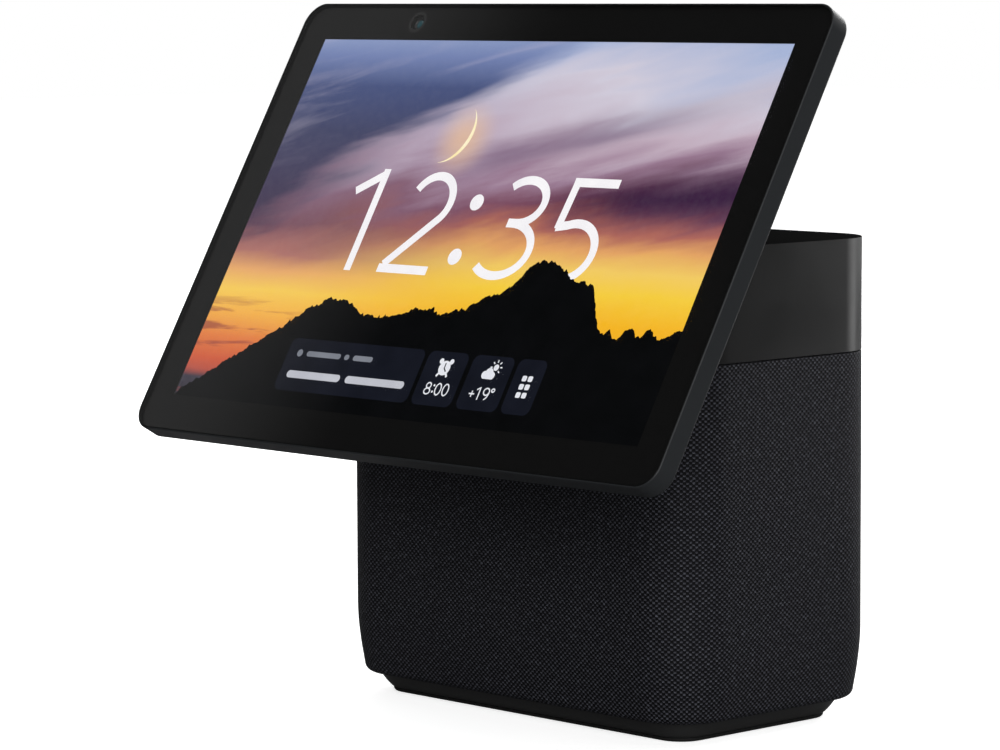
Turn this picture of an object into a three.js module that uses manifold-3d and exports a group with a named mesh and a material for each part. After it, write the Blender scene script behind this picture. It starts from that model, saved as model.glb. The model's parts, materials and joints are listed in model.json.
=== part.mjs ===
// Smart display: a touch screen on a tilting hinge, in front of a fabric-covered speaker base.
// Millimetres, +Z up. The origin is at the centre of the rubber foot, on the table.
// +X runs along the front to the viewer's right, and the screen faces -Y.
import * as THREE from "three";
import { mergeVertices } from "three/addons/utils/BufferGeometryUtils.js";
import Module from "manifold-3d";

const wasm = await Module();
wasm.setup();

// ---- Driving dimensions ----

const GAP = 0.3; // between neighbouring pieces

// Speaker base: a rounded rectangle in plan
const BASE_WIDTH = 164.5;
const BASE_DEPTH = 95.9;
const BASE_HEIGHT = 156.5;
const BASE_RADIUS = 21.2;
const COLLAR_HEIGHT = 36.4;
const FOOT_HEIGHT = 7;
const FOOT_INSET = 12;
const FABRIC_THICKNESS = 1.4;
const SHELL_WALL = 2.5;
const COLLAR_WALL = 2.4;
const COLLAR_RIM = 1.1;

// Lower end of the fabric body: it curves in, then turns under round a small edge
const TUCK_TOP = 30;
const TUCK_DEPTH = 2.3;
const EDGE_RADIUS = 2.8;
const LIP_INSET = 10.4;

// Screen slab: 10.1 inch, 16:10
const SLAB_WIDTH = 243.4;
const SLAB_HEIGHT = 162.4;
const SLAB_DEPTH = 7.8;
const SLAB_RADIUS = 8;
const SLAB_RIM = 0.9;
const SLAB_Y = -61.1;
const SLAB_Z = 161.2;
const SLAB_TILT = THREE.MathUtils.degToRad(30.17);

// Tilt hinge: its axis, measured in the slab's own frame
const HINGE_V = -24.7;
const HINGE_W = -15.63;
const PIN_RADIUS = 2.5;
const EYE_BORE = 2.6;
const EYE_RADIUS = 5;

// Ribbon cable to the screen
const CABLE_WIDTH = 10;
const CABLE_THICKNESS = 0.5;
const CABLE_V = -44.7;

// Camera and its shutter, in the slab's own frame
const CAMERA_U = -65;
const CAMERA_V = 74.5;
const SHUTTER_TRAVEL = 8;

// Speaker drivers
const WOOFER_Z = 68;
const WOOFER_RADIUS = 32;
const RADIATOR_RADIUS = 24;
const DRIVER_TRAVEL = 3;
const TWEETER_X = 46;
const TWEETER_Z = 103;
const TWEETER_RADIUS = 11;

// Power socket in the back, and the buttons in the top
const SOCKET_Z = 26;
const BUTTON_Y = 8;
const BUTTON_PITCH = 24;
const BUTTON_TRAVEL = 0.8;

// ---- Worked-out places ----

const HALF_WIDTH = BASE_WIDTH / 2;
const HALF_DEPTH = BASE_DEPTH / 2;
const COLLAR_BOTTOM = BASE_HEIGHT - COLLAR_HEIGHT;
const FABRIC_TOP = COLLAR_BOTTOM - GAP;
const SHELL_TOP = FABRIC_TOP - GAP;
const SHELL_INSET = FABRIC_THICKNESS + GAP;
const SHELL_INNER_INSET = SHELL_INSET + SHELL_WALL;
const SHELL_FLOOR_TOP = FOOT_HEIGHT + SHELL_INSET + 3;
const FRONT_INNER_Y = -HALF_DEPTH + SHELL_INNER_INSET;
const SIDE_INNER_X = HALF_WIDTH - SHELL_INNER_INSET;
const LID_BOTTOM = SHELL_TOP + GAP;
const LID_TOP = LID_BOTTOM + 2;
const FLANGE_BOTTOM = LID_TOP + GAP;
const FLANGE_TOP = FLANGE_BOTTOM + 2;

// The [y, z] of a point at height v up the slab and w in front of its glass.
const slabPoint = (v, w) => [
  SLAB_Y + v * Math.sin(SLAB_TILT) - w * Math.cos(SLAB_TILT),
  SLAB_Z + v * Math.cos(SLAB_TILT) + w * Math.sin(SLAB_TILT),
];
const [HINGE_Y, HINGE_Z] = slabPoint(HINGE_V, HINGE_W);

// The slab's layers, as distances from the face of the glass
const GLASS_BACK = -1.1;
const LAYER_FRONT = GLASS_BACK - GAP;
const LAYER_BACK = -3.6;
const CHASSIS_FRONT = LAYER_BACK - GAP;
const CHASSIS_BACK = CHASSIS_FRONT - 0.7;
const FLOOR_FRONT = -SLAB_DEPTH + 1.4;

// Top deck of the base
const PLATE_TOP = BASE_HEIGHT - 0.4;
const PLATE_BOTTOM = PLATE_TOP - 1.6;
const LEDGE_TOP = PLATE_BOTTOM - GAP;

const CORNER_STEPS = 6;
const SMALL_CORNER_STEPS = 4;
const ROUND_STEPS = 24;
const SMALL_ROUND_STEPS = 12;

// ---- Colours and finishes ----

const finishes = {
  rubber: { color: 0x141414, roughness: 0.9, metalness: 0 },
  satinBlack: { color: 0x1b1b1c, roughness: 0.45, metalness: 0 },
  darkPlastic: { color: 0x26272a, roughness: 0.5, metalness: 0 },
  innerPlastic: { color: 0x3a3a3c, roughness: 0.7, metalness: 0 },
  fabric: { color: 0x101114, roughness: 0.95, metalness: 0 },
  steel: { color: 0x9a9ca0, roughness: 0.35, metalness: 1 },
  blackSteel: { color: 0x202022, roughness: 0.5, metalness: 0.6 },
  aluminium: { color: 0xb4b6ba, roughness: 0.4, metalness: 1 },
  paper: { color: 0x1d1d20, roughness: 0.85, metalness: 0 },
  board: { color: 0x14502c, roughness: 0.5, metalness: 0 },
  foam: { color: 0x222222, roughness: 1, metalness: 0 },
  glass: { color: 0x0b0b0c, roughness: 0.05, metalness: 0 },
  lens: { color: 0x16303a, roughness: 0.02, metalness: 0 },
};

// ---- Solids ----

// A closed geometry as a manifold-3d solid.
function solidOf(geometry) {
  const bare = geometry.clone();
  bare.deleteAttribute("normal");
  bare.deleteAttribute("uv");
  const merged = mergeVertices(bare, 1e-4);
  return new wasm.Manifold(
    new wasm.Mesh({
      numProp: 3,
      vertProperties: merged.attributes.position.array,
      triVerts: new Uint32Array(merged.index.array),
    }),
  );
}

// A manifold-3d solid as a geometry.
function geometryOf(solid) {
  const mesh = solid.getMesh();
  const geometry = new THREE.BufferGeometry();
  geometry.setAttribute("position", new THREE.BufferAttribute(mesh.vertProperties, 3));
  geometry.setIndex(new THREE.BufferAttribute(mesh.triVerts, 1));
  return geometry;
}

function join(first, ...others) {
  return geometryOf(others.reduce((sum, g) => sum.add(solidOf(g)), solidOf(first)));
}

function cut(first, ...tools) {
  return geometryOf(tools.reduce((rest, g) => rest.subtract(solidOf(g)), solidOf(first)));
}

// A box from its lowest corner to its highest.
function box(low, high) {
  const size = high.map((value, i) => value - low[i]);
  const middle = high.map((value, i) => (value + low[i]) / 2);
  return new THREE.BoxGeometry(...size).translate(...middle);
}

// Corner points of a rounded rectangle, anticlockwise.
function outline(width, depth, radius, steps = CORNER_STEPS) {
  const points = [];
  for (let corner = 0; corner < 4; corner++) {
    const sideX = corner === 0 || corner === 3 ? 1 : -1;
    const sideY = corner < 2 ? 1 : -1;
    for (let step = 0; step <= steps; step++) {
      const angle = (Math.PI / 2) * (corner + step / steps);
      points.push([
        sideX * (width / 2 - radius) + radius * Math.cos(angle),
        sideY * (depth / 2 - radius) + radius * Math.sin(angle),
      ]);
    }
  }
  return points;
}

// Sweeps a profile of [inset, height] points round a rounded rectangle. The profile runs up the outside.
// An open profile is closed by a flat cap at each end, and a ring's profile closes on itself.
function swept(profile, width, depth, radius, ring = false, steps = CORNER_STEPS) {
  const positions = [];
  const index = [];
  const rows = profile.map(([inset, height]) => {
    const corner = Math.max(radius - inset, 0.6);
    return outline(width - 2 * inset, depth - 2 * inset, corner, steps).map(([x, y]) => [x, y, height]);
  });
  const count = rows[0].length;
  rows.forEach((row) => row.forEach((point) => positions.push(...point)));
  const strips = ring ? rows.length : rows.length - 1;
  for (let i = 0; i < strips; i++) {
    const low = i * count;
    const high = ((i + 1) % rows.length) * count;
    for (let j = 0; j < count; j++) {
      const next = (j + 1) % count;
      index.push(low + j, low + next, high + next);
      index.push(low + j, high + next, high + j);
    }
  }
  if (!ring) {
    const last = (rows.length - 1) * count;
    const centre = positions.length / 3;
    positions.push(0, 0, profile[0][1], 0, 0, profile[profile.length - 1][1]);
    for (let j = 0; j < count; j++) {
      const next = (j + 1) % count;
      index.push(centre, next, j);
      index.push(centre + 1, last + j, last + next);
    }
  }
  const geometry = new THREE.BufferGeometry();
  geometry.setAttribute("position", new THREE.Float32BufferAttribute(positions, 3));
  geometry.setIndex(index);
  return geometry;
}

const sweptBase = (profile, ring) => swept(profile, BASE_WIDTH, BASE_DEPTH, BASE_RADIUS, ring);
const sweptSlab = (profile, ring) => swept(profile, SLAB_WIDTH, SLAB_HEIGHT, SLAB_RADIUS, ring);

// A flat plate with rounded corners, centred on the Z axis.
function plate(width, depth, radius, bottom, top) {
  return swept([[0, bottom], [0, top]], width, depth, radius, false, SMALL_CORNER_STEPS);
}

// A solid of revolution from [radius, height] points that run up the outside, about the Y axis.
function turned(profile, steps = ROUND_STEPS) {
  return new THREE.LatheGeometry(profile.map(([r, y]) => new THREE.Vector2(r, y)), steps);
}

const turnedAboutX = (profile, steps) => turned(profile, steps).rotateZ(-Math.PI / 2);
const turnedAboutZ = (profile, steps) => turned(profile, steps).rotateX(Math.PI / 2);

// A plain cylinder's profile.
const rod = (radius, bottom, top) => [[0, bottom], [radius, bottom], [radius, top], [0, top]];

// A screw that points down from its head: the head's top is at 0.
function screw(headRadius, headHeight, shankRadius, length) {
  return turnedAboutZ([
    [0, -length], [shankRadius, -length], [shankRadius, -headHeight], [headRadius, -headHeight],
    [headRadius, 0], [0, 0],
  ], SMALL_ROUND_STEPS);
}

function mesh(name, geometry, finish, x = 0, y = 0, z = 0) {
  const made = new THREE.Mesh(geometry, new THREE.MeshStandardMaterial(finish));
  made.name = name;
  made.position.set(x, y, z);
  return made;
}

// Four places, one in each quarter.
const quarters = (x, y) => [[-x, -y], [x, -y], [x, y], [-x, y]];

// ---- Base: foot, fabric body and enclosure ----

// The body's side from its tucked-in lower edge up to the top, moved inwards by offset.
function bodySide(offset, top, steps) {
  const edgeTop = FOOT_HEIGHT + EDGE_RADIUS;
  const radius = EDGE_RADIUS - offset;
  const points = [];
  for (let step = 0; step <= steps; step++) {
    const angle = Math.PI * (1.5 - step / steps / 2);
    points.push([
      TUCK_DEPTH + EDGE_RADIUS + radius * Math.cos(angle),
      edgeTop + radius * Math.sin(angle),
    ]);
  }
  for (let step = 1; step <= steps; step++) {
    const left = 1 - step / steps;
    points.push([offset + TUCK_DEPTH * left ** 1.7, edgeTop + (TUCK_TOP - edgeTop) * (step / steps)]);
  }
  points.push([offset, top]);
  return points;
}

const enclosureScrewPlaces = quarters(
  HALF_WIDTH - BASE_RADIUS + 8.5,
  HALF_DEPTH - BASE_RADIUS + 8.5,
);
const footScrewPlaces = quarters(52, 24);

function rubberFoot() {
  return sweptBase([[FOOT_INSET + 0.9, 0], [FOOT_INSET + 0.3, 0.4], [FOOT_INSET + 0.1, 1.2]]);
}

function footPlinth() {
  const top = FOOT_HEIGHT - GAP;
  const side = [];
  for (let step = 0; step <= 3; step++) {
    const rise = step / 3;
    side.push([FOOT_INSET - 4.6 * rise ** 0.75, 1.5 + (top - 1.5) * rise]);
  }
  const seat = FOOT_HEIGHT + FABRIC_THICKNESS;
  const block = sweptBase([...side, [LIP_INSET + GAP, top], [LIP_INSET + GAP, seat]]);
  const holes = footScrewPlaces.flatMap(([x, y]) => [
    turnedAboutZ(rod(3.6, 1, 4.5), SMALL_ROUND_STEPS).translate(x, y, 0),
    turnedAboutZ(rod(1.8, 1, seat + 1), SMALL_ROUND_STEPS).translate(x, y, 0),
  ]);
  return cut(block, ...holes);
}

function fabricSleeve() {
  const outside = [[LIP_INSET, FOOT_HEIGHT], ...bodySide(0, FABRIC_TOP, 4)];
  const inside = [[LIP_INSET, FOOT_HEIGHT + FABRIC_THICKNESS], ...bodySide(FABRIC_THICKNESS, FABRIC_TOP, 4)];
  const sleeve = sweptBase([...outside, ...inside.reverse()], true);
  const socketWindow = plate(26 + 2 * GAP, 16 + 2 * GAP, 6 + GAP, -5, 5).rotateX(Math.PI / 2);
  return cut(sleeve, socketWindow.translate(0, HALF_DEPTH, SOCKET_Z));
}

function speakerShell() {
  const outside = bodySide(SHELL_INSET, SHELL_TOP, 4);
  const inside = [
    [SHELL_INNER_INSET, SHELL_TOP],
    [SHELL_INNER_INSET, TUCK_TOP],
    [SHELL_INNER_INSET + TUCK_DEPTH, SHELL_FLOOR_TOP],
  ];
  const tub = sweptBase([...outside, ...inside]);
  const posts = enclosureScrewPlaces.map(([x, y]) =>
    turnedAboutZ(rod(6, TUCK_TOP, SHELL_TOP), SMALL_ROUND_STEPS).translate(x, y, 0),
  );
  const bosses = footScrewPlaces.map(([x, y]) =>
    turnedAboutZ(rod(4, SHELL_FLOOR_TOP - 1, 20), SMALL_ROUND_STEPS).translate(x, y, 0),
  );
  const postHoles = enclosureScrewPlaces.map(([x, y]) =>
    turnedAboutZ(rod(1.7, SHELL_TOP - 12, SHELL_TOP + 1), SMALL_ROUND_STEPS).translate(x, y, 0),
  );
  const bossHoles = footScrewPlaces.map(([x, y]) =>
    turnedAboutZ(rod(1.7, 5, 18), SMALL_ROUND_STEPS).translate(x, y, 0),
  );
  const wooferHole = turned(rod(WOOFER_RADIUS + 1, -60, -30)).translate(0, 0, WOOFER_Z);
  const tweeterHoles = [-1, 1].map((side) =>
    turned(rod(TWEETER_RADIUS - 2, -60, -30), 24).translate(side * TWEETER_X, 0, TWEETER_Z),
  );
  const radiatorHoles = turnedAboutX(rod(RADIATOR_RADIUS, -100, 100)).translate(0, 0, WOOFER_Z);
  const socketHole = plate(26 + 2 * GAP, 16 + 2 * GAP, 6 + GAP, -30, 30).rotateX(Math.PI / 2);
  return cut(
    join(tub, ...posts, ...bosses),
    ...postHoles,
    ...bossHoles,
    wooferHole,
    ...tweeterHoles,
    radiatorHoles,
    socketHole.translate(0, HALF_DEPTH + 20, SOCKET_Z),
  );
}

function enclosureLid() {
  const inset = COLLAR_WALL + GAP;
  const holes = enclosureScrewPlaces.map(([x, y]) =>
    turnedAboutZ(rod(1.8, LID_BOTTOM - 1, LID_TOP + 1), SMALL_ROUND_STEPS).translate(x, y, 0),
  );
  const cableHole = turnedAboutZ(rod(8, LID_BOTTOM - 1, LID_TOP + 1)).translate(0, 26, 0);
  return cut(sweptBase([[inset, LID_BOTTOM], [inset, LID_TOP]]), ...holes, cableHole);
}

// ---- Speaker drivers ----

// A half-roll surround between two radii, bulging towards -Y from a clamped rim at y = 0.
function halfRoll(inner, outer) {
  const middle = (inner + outer) / 2;
  const reach = (outer - inner) / 2;
  const rings = (radius, from, to) =>
    Array.from({ length: 5 }, (_, k) => {
      const angle = from + ((to - from) * k) / 4;
      return [middle + radius * Math.cos(angle), -radius * Math.sin(angle)];
    });
  const front = rings(reach, Math.PI, 0);
  const back = rings(reach - 0.7, 0, Math.PI);
  return turned([...front, ...back, front[0]], ROUND_STEPS);
}

// Open frame behind the cone: a flat rim, then a bowl with four windows down to the magnet.
function wooferBasket() {
  const rim = FRONT_INNER_Y + GAP;
  const bowl = turned([
    [WOOFER_RADIUS + 0.3, rim + 3.8], [WOOFER_RADIUS + 0.3, rim], [WOOFER_RADIUS + 5, rim],
    [WOOFER_RADIUS + 5, rim + 2], [WOOFER_RADIUS + 2, rim + 2], [WOOFER_RADIUS + 1.8, rim + 5],
    [22, rim + 27], [9, rim + 27], [9, rim + 25.4], [21, rim + 25.4], [WOOFER_RADIUS + 0.3, rim + 3.8],
  ]);
  const windows = [0, 1].map((turn) =>
    box([-9, rim + 8, -60], [9, rim + 22, 60]).rotateY(Math.PI * (0.25 + turn / 2)),
  );
  return cut(bowl, ...windows);
}

function wooferMagnet() {
  const front = FRONT_INNER_Y + 27 + 2 * GAP;
  return turned([
    [0, front + 2], [6, front + 2], [6, front], [24, front], [25, front + 1],
    [25, front + 19], [24, front + 20], [0, front + 20],
  ]);
}

// Paper cone with its dust cap and the coil former behind it.
function wooferCone() {
  const edge = FRONT_INNER_Y + 1;
  const outer = WOOFER_RADIUS - 6;
  return turned([
    [0, edge + 10], [6, edge + 11], [9, edge + 14], [8, edge + 15], [8, edge + 20],
    [9, edge + 20], [9, edge + 15.4], [outer - 2, edge + 1.6], [outer, edge + 1], [outer, edge],
    [outer - 2, edge], [10, edge + 11], [7, edge + 8], [0, edge + 6.6],
  ].reverse());
}

function radiatorPlate() {
  const outer = RADIATOR_RADIUS - 7;
  return turned([
    [0, -1.5], [outer - 8, -1.5], [outer - 7, -0.9], [outer - 0.6, -0.9], [outer, -0.3], [outer, 1.5],
    [outer - 6, 1.5], [outer - 7, 3], [0, 3],
  ]);
}

// Soft-dome tweeter with its faceplate and rear cup, facing -Y.
function tweeter() {
  const r = TWEETER_RADIUS;
  return turned([
    [0, -2.3], [3.2, -1.9], [5.4, -0.9], [6.4, 0.2], [r - 3, -0.4], [r - 2 - GAP, -0.4], [r - 2 - GAP, GAP],
    [r + 3, GAP], [r + 3, 2.6], [r, 2.6], [r - 0.6, 12], [0, 12],
  ], 24);
}

// ---- Electronics ----

function mainBoard() {
  const board = box([-42, 0, 0], [42, 1.6, 62]);
  const chips = [
    box([-14, -1.4, 22], [6, 0.1, 42]),
    box([12, -1.2, 28], [24, 0.1, 40]),
    box([-38, -4, 8], [-26, 0.1, 16]),
    box([22, -3, 48], [38, 0.1, 56]),
  ];
  return join(board, ...chips);
}

function heatSink() {
  const base = box([-20, -3, 0], [20, 0, 44]);
  const fins = Array.from({ length: 8 }, (_, k) => box([-20 + k * 5.4, -13, 0], [-18 + k * 5.4, -2.9, 44]));
  return join(base, ...fins);
}

// Recessed plug socket surround, flush with the fabric.
function socketSurround() {
  const face = HALF_DEPTH - 0.2;
  const body = plate(26, 16, 6, 0, 9).rotateX(Math.PI / 2).translate(0, face, SOCKET_Z);
  const well = turned(rod(5, face - 6.5, face + 5)).translate(0, 0, SOCKET_Z);
  const through = turned(rod(3.1, face - 20, face + 5)).translate(0, 0, SOCKET_Z);
  return cut(body, well, through);
}

// Barrel jack with its centre contact, on the end of a short lead inside the enclosure.
function powerJack() {
  const back = HALF_DEPTH - 0.2 - 9 - GAP;
  const block = box([-5.5, back - 12, -5.5], [5.5, back, 5.5]);
  const bore = turned(rod(2.8, back - 9, back + 1), 24);
  const contact = turned(rod(1, back - 10, back - 0.5), 12);
  return join(cut(block, bore), contact);
}

// ---- Collar and top ----

const NECK_HALF_WIDTH = 33;
const NECK_BOTTOM = HINGE_Z - 7.4;
const NECK_TOP = HINGE_Z + 9;

function collar() {
  const wall = COLLAR_WALL;
  const shell = sweptBase([
    [0, COLLAR_BOTTOM], [0, BASE_HEIGHT - 0.5], [0.15, BASE_HEIGHT - 0.15], [0.5, BASE_HEIGHT],
    [COLLAR_RIM, BASE_HEIGHT], [COLLAR_RIM, LEDGE_TOP], [5, LEDGE_TOP], [5, LEDGE_TOP - 1.6],
    [wall, LEDGE_TOP - 4], [wall, FLANGE_TOP], [14, FLANGE_TOP], [14, FLANGE_BOTTOM],
    [wall, FLANGE_BOTTOM], [wall, COLLAR_BOTTOM],
  ], true);
  const holes = enclosureScrewPlaces.map(([x, y]) =>
    turnedAboutZ(rod(1.8, FLANGE_BOTTOM - 1, FLANGE_TOP + 1), SMALL_ROUND_STEPS).translate(x, y, 0),
  );
  const reach = NECK_HALF_WIDTH + GAP;
  const neckOpening = box(
    [-reach, -HALF_DEPTH - 1, NECK_BOTTOM - GAP],
    [reach, -HALF_DEPTH + COLLAR_WALL + 0.1, NECK_TOP + GAP],
  );
  const bracketHoles = bracketScrewPlaces.map(([x, z]) =>
    turned(rod(1.8, -HALF_DEPTH + 1, -HALF_DEPTH + 4), SMALL_ROUND_STEPS).translate(x, 0, z),
  );
  return cut(shell, ...holes, neckOpening, ...bracketHoles);
}

// Round for the middle button, long for the two outer ones.
const buttons = [
  { name: "volume_down_button", x: -BUTTON_PITCH, width: 16 },
  { name: "mute_button", x: 0, width: 9 },
  { name: "volume_up_button", x: BUTTON_PITCH, width: 16 },
];
const BUTTON_DEPTH = 9;

function topPlate() {
  const inset = COLLAR_RIM + GAP;
  const deck = sweptBase([[inset, PLATE_BOTTOM], [inset, PLATE_TOP]]);
  const rooted = PLATE_BOTTOM + 0.5;
  const peg = [[0, 147], [1.2, 147], [1.2, 150], [3, 150], [3, rooted], [0, rooted]];
  const pegs = [-38, 38].map((x) => turnedAboutZ(peg, SMALL_ROUND_STEPS).translate(x, BUTTON_Y, 0));
  const openings = buttons.map(({ x, width }) => {
    const clear = 0.7;
    return plate(width + clear, BUTTON_DEPTH + clear, (BUTTON_DEPTH + clear) / 2 - 0.01, 150, 160)
      .translate(x, BUTTON_Y, 0);
  });
  const microphoneHoles = [-50, 50].map((x) =>
    turnedAboutZ(rod(0.8, 150, 160), 12).translate(x, -30, 0),
  );
  return cut(join(deck, ...pegs), ...openings, ...microphoneHoles);
}

// A cap that stands 0.5 above the plate, on a flange that keeps it in.
function button(width) {
  const radius = BUTTON_DEPTH / 2 - 0.01;
  const top = PLATE_TOP + 0.5;
  return swept([
    [-1.2, PLATE_BOTTOM - 1.6], [-1.2, PLATE_BOTTOM - GAP], [0, PLATE_BOTTOM - GAP],
    [0, top - 0.35], [0.35, top],
  ], width, BUTTON_DEPTH, radius);
}

function buttonBoard() {
  const top = 149.7;
  const board = box([-44, -10, top - 1.6], [44, 10, top]);
  const holes = [-38, 38].map((x) => turnedAboutZ(rod(1.5, 140, 155), SMALL_ROUND_STEPS).translate(x, 0, 0));
  const switches = buttons.map(({ x }) => join(
    box([x - 3, -3, top - 0.1], [x + 3, 3, top + 1.2]),
    turnedAboutZ(rod(1.4, top + 1, PLATE_BOTTOM - 1.6 - BUTTON_TRAVEL - GAP), 12).translate(x, 0, 0),
  ));
  return join(cut(board, ...holes), ...switches);
}

// ---- Hinge, fixed side ----

const bracketScrewPlaces = [[-38, HINGE_Z + 12], [38, HINGE_Z + 12]];
const FIXED_EYE = [18, 28];
const MOVING_EYE = [6, 17.4];
const COLLAR_INNER_Y = -HALF_DEPTH + COLLAR_WALL;

// Steel bracket: a plate inside the collar and two arms through its front, with an eye on each.
function hingeBracket() {
  const back = COLLAR_INNER_Y + GAP;
  const panel = box([-44, back, FLANGE_TOP + GAP], [44, back + 2.5, HINGE_Z + 17]);
  const arms = [-1, 1].flatMap((side) => {
    const [near, far] = FIXED_EYE;
    const low = side > 0 ? near : -far;
    return [
      box([low, HINGE_Y, HINGE_Z - EYE_RADIUS], [low + far - near, back + 1, HINGE_Z + EYE_RADIUS]),
      turnedAboutX(rod(EYE_RADIUS, low, low + far - near)).translate(0, HINGE_Y, HINGE_Z),
    ];
  });
  const bore = turnedAboutX(rod(EYE_BORE, -50, 50)).translate(0, HINGE_Y, HINGE_Z);
  const cableSlot = box([-14, back - 1, HINGE_Z - 4], [14, back + 4, HINGE_Z + 4]);
  const screwHoles = bracketScrewPlaces.map(([x, z]) =>
    turned(rod(1.8, back - 1, back + 4), SMALL_ROUND_STEPS).translate(x, 0, z),
  );
  return cut(join(panel, ...arms), bore, cableSlot, ...screwHoles);
}

function hingePin() {
  const head = FIXED_EYE[1] + 3.1;
  return turnedAboutX([
    [0, -head - 1.5], [3.6, -head - 1.5], [4, -head - 1.1], [4, -head], [PIN_RADIUS, -head],
    [PIN_RADIUS, head], [4, head], [4, head + 1.1], [3.6, head + 1.5], [0, head + 1.5],
  ]);
}

// Dished friction washer between a fixed eye and the pin's head.
function frictionWasher() {
  return turnedAboutX([
    [2.65, 0.9], [3.2, 0.3], [5, 0.3], [5, 1.2], [3.6, 1.9], [2.65, 2.5], [2.65, 0.9],
  ]);
}

// Half of the moulded cover round the bracket's arms: side is 1 for the upper half, -1 for the lower.
function neckCover(side) {
  const height = NECK_TOP - NECK_BOTTOM;
  const wall = 1.8;
  const front = HALF_DEPTH + 6.2;
  const back = -COLLAR_INNER_Y + 0.1;
  const outer = plate(2 * NECK_HALF_WIDTH, height, 5, back, front);
  const inner = plate(2 * (NECK_HALF_WIDTH - wall), height - 2 * wall, 5 - wall, back - 1, front + 1);
  const otherHalf = side > 0 ? box([-50, -50, 0], [50, GAP / 2, 99]) : box([-50, -GAP / 2, 0], [50, 50, 99]);
  return cut(outer, inner, otherHalf)
    .rotateX(Math.PI / 2)
    .translate(0, 0, (NECK_TOP + NECK_BOTTOM) / 2);
}

// Flat ribbon from the main board, up through the lid and the neck, then in a slack loop to the screen.
function displayCable() {
  const route = new THREE.CatmullRomCurve3([
    ...[[38.1, 100], [37.9, 108], [34, 116], [27, 120.8], [18, 125.4], [0, 127.5], [-30, 128.5]],
    ...[[-46, 129.2], [-54, 128.4], [-61, 124.5], [-65, 118], [-69, 114.8]],
    ...[-11.5, -6.7].map((w) => slabPoint(CABLE_V, w)),
  ].map(([y, z]) => new THREE.Vector3(y, z, 0)), false, "centripetal");
  const steps = 40;
  const edge = (side) => Array.from({ length: steps + 1 }, (_, k) => {
    const along = route.getTangentAt(k / steps);
    const point = route.getPointAt(k / steps);
    return new THREE.Vector2(point.x - side * along.y, point.y + side * along.x);
  });
  const outlinePoints = [...edge(-CABLE_THICKNESS / 2), ...edge(CABLE_THICKNESS / 2).reverse()];
  const ribbon = new THREE.ExtrudeGeometry(new THREE.Shape(outlinePoints), {
    depth: CABLE_WIDTH,
    bevelEnabled: false,
  });
  const [across, depth, up] = [[1, 0, 0], [0, 1, 0], [0, 0, 1]].map((v) => new THREE.Vector3(...v));
  return ribbon
    .translate(0, 0, -CABLE_WIDTH / 2)
    .applyMatrix4(new THREE.Matrix4().makeBasis(depth, up, across));
}

// ---- Screen ----

const leafScrewPlaces = quarters(42, 10).map(([x, y]) => [x, y + HINGE_V]);

function rearHousing() {
  const back = -SLAB_DEPTH;
  const rounding = 1.3;
  const edge = [0, 1, 2, 3].map((k) => {
    const angle = (Math.PI / 2) * (k / 3);
    return [rounding * (1 - Math.sin(angle)), back + rounding * (1 - Math.cos(angle))];
  });
  const tray = sweptSlab([
    ...edge, [0, -0.15], [0.15, 0], [SLAB_RIM, 0], [SLAB_RIM, FLOOR_FRONT],
  ]);
  const knobSlot = box(
    [CAMERA_U - 2.5, SLAB_HEIGHT / 2 - 2, -5.7],
    [CAMERA_U + 2.5 + SHUTTER_TRAVEL, SLAB_HEIGHT / 2 + 1, -3.9],
  );
  const screwHoles = leafScrewPlaces.map(([x, y]) =>
    turnedAboutZ(rod(1.75, back - 1, FLOOR_FRONT + 1), SMALL_ROUND_STEPS).translate(x, y, 0),
  );
  const cableHole = plate(14, 5, 2, back - 1, FLOOR_FRONT + 1).translate(0, CABLE_V, 0);
  return cut(tray, knobSlot, ...screwHoles, cableHole);
}

function coverGlass() {
  const inset = SLAB_RIM + GAP;
  return sweptSlab([[inset, GLASS_BACK], [inset, -0.2], [inset + 0.2, 0]]);
}

// Clear of the shutter and its arm.
const shutterSpace = (low, high) => box(
  [CAMERA_U - SHUTTER_TRAVEL - 4, CAMERA_V - 6, low],
  [CAMERA_U + SHUTTER_TRAVEL + 3, SLAB_HEIGHT / 2, high],
);

function glassGasket() {
  const outer = SLAB_RIM + GAP + 0.3;
  const ring = sweptSlab([
    [outer, LAYER_BACK], [outer, LAYER_FRONT], [outer + 1.7, LAYER_FRONT], [outer + 1.7, LAYER_BACK],
  ], true);
  return cut(ring, shutterSpace(-5, 0));
}

function chassisPlate() {
  const inset = SLAB_RIM + GAP + 0.3;
  const sheet = sweptSlab([[inset, CHASSIS_BACK], [inset, CHASSIS_FRONT]]);
  const holes = leafScrewPlaces.map(([x, y]) =>
    turnedAboutZ(rod(1.7, -6, -3), SMALL_ROUND_STEPS).translate(x, y, 0),
  );
  const armSlot = box(
    [CAMERA_U - 3, CAMERA_V + 3.3, -6],
    [CAMERA_U + 3 + SHUTTER_TRAVEL, SLAB_HEIGHT / 2, -3],
  );
  const cameraHole = box([CAMERA_U - 4.3, CAMERA_V - 5.5, -6], [CAMERA_U + 4.3, CAMERA_V + 3.1, -3]);
  return cut(sheet, ...holes, armSlot, cameraHole);
}

function cameraModule() {
  const block = box([-4, -3.6, -5.2], [4, 2.8, -3.2]);
  const barrel = turnedAboutZ(
    [[0, -4], [3, -4], [3, -2.6], [2.7, -2.3], [2.1, -2.3], [1.5, -3], [0, -3]],
    24,
  );
  return join(block, barrel);
}

function cameraLens() {
  return turnedAboutZ([[0, -2.7], [1.1, -2.7], [1.5, -2.6], [1.2, -2.35], [0.7, -2.2], [0, -2.15]], 24);
}

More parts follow.
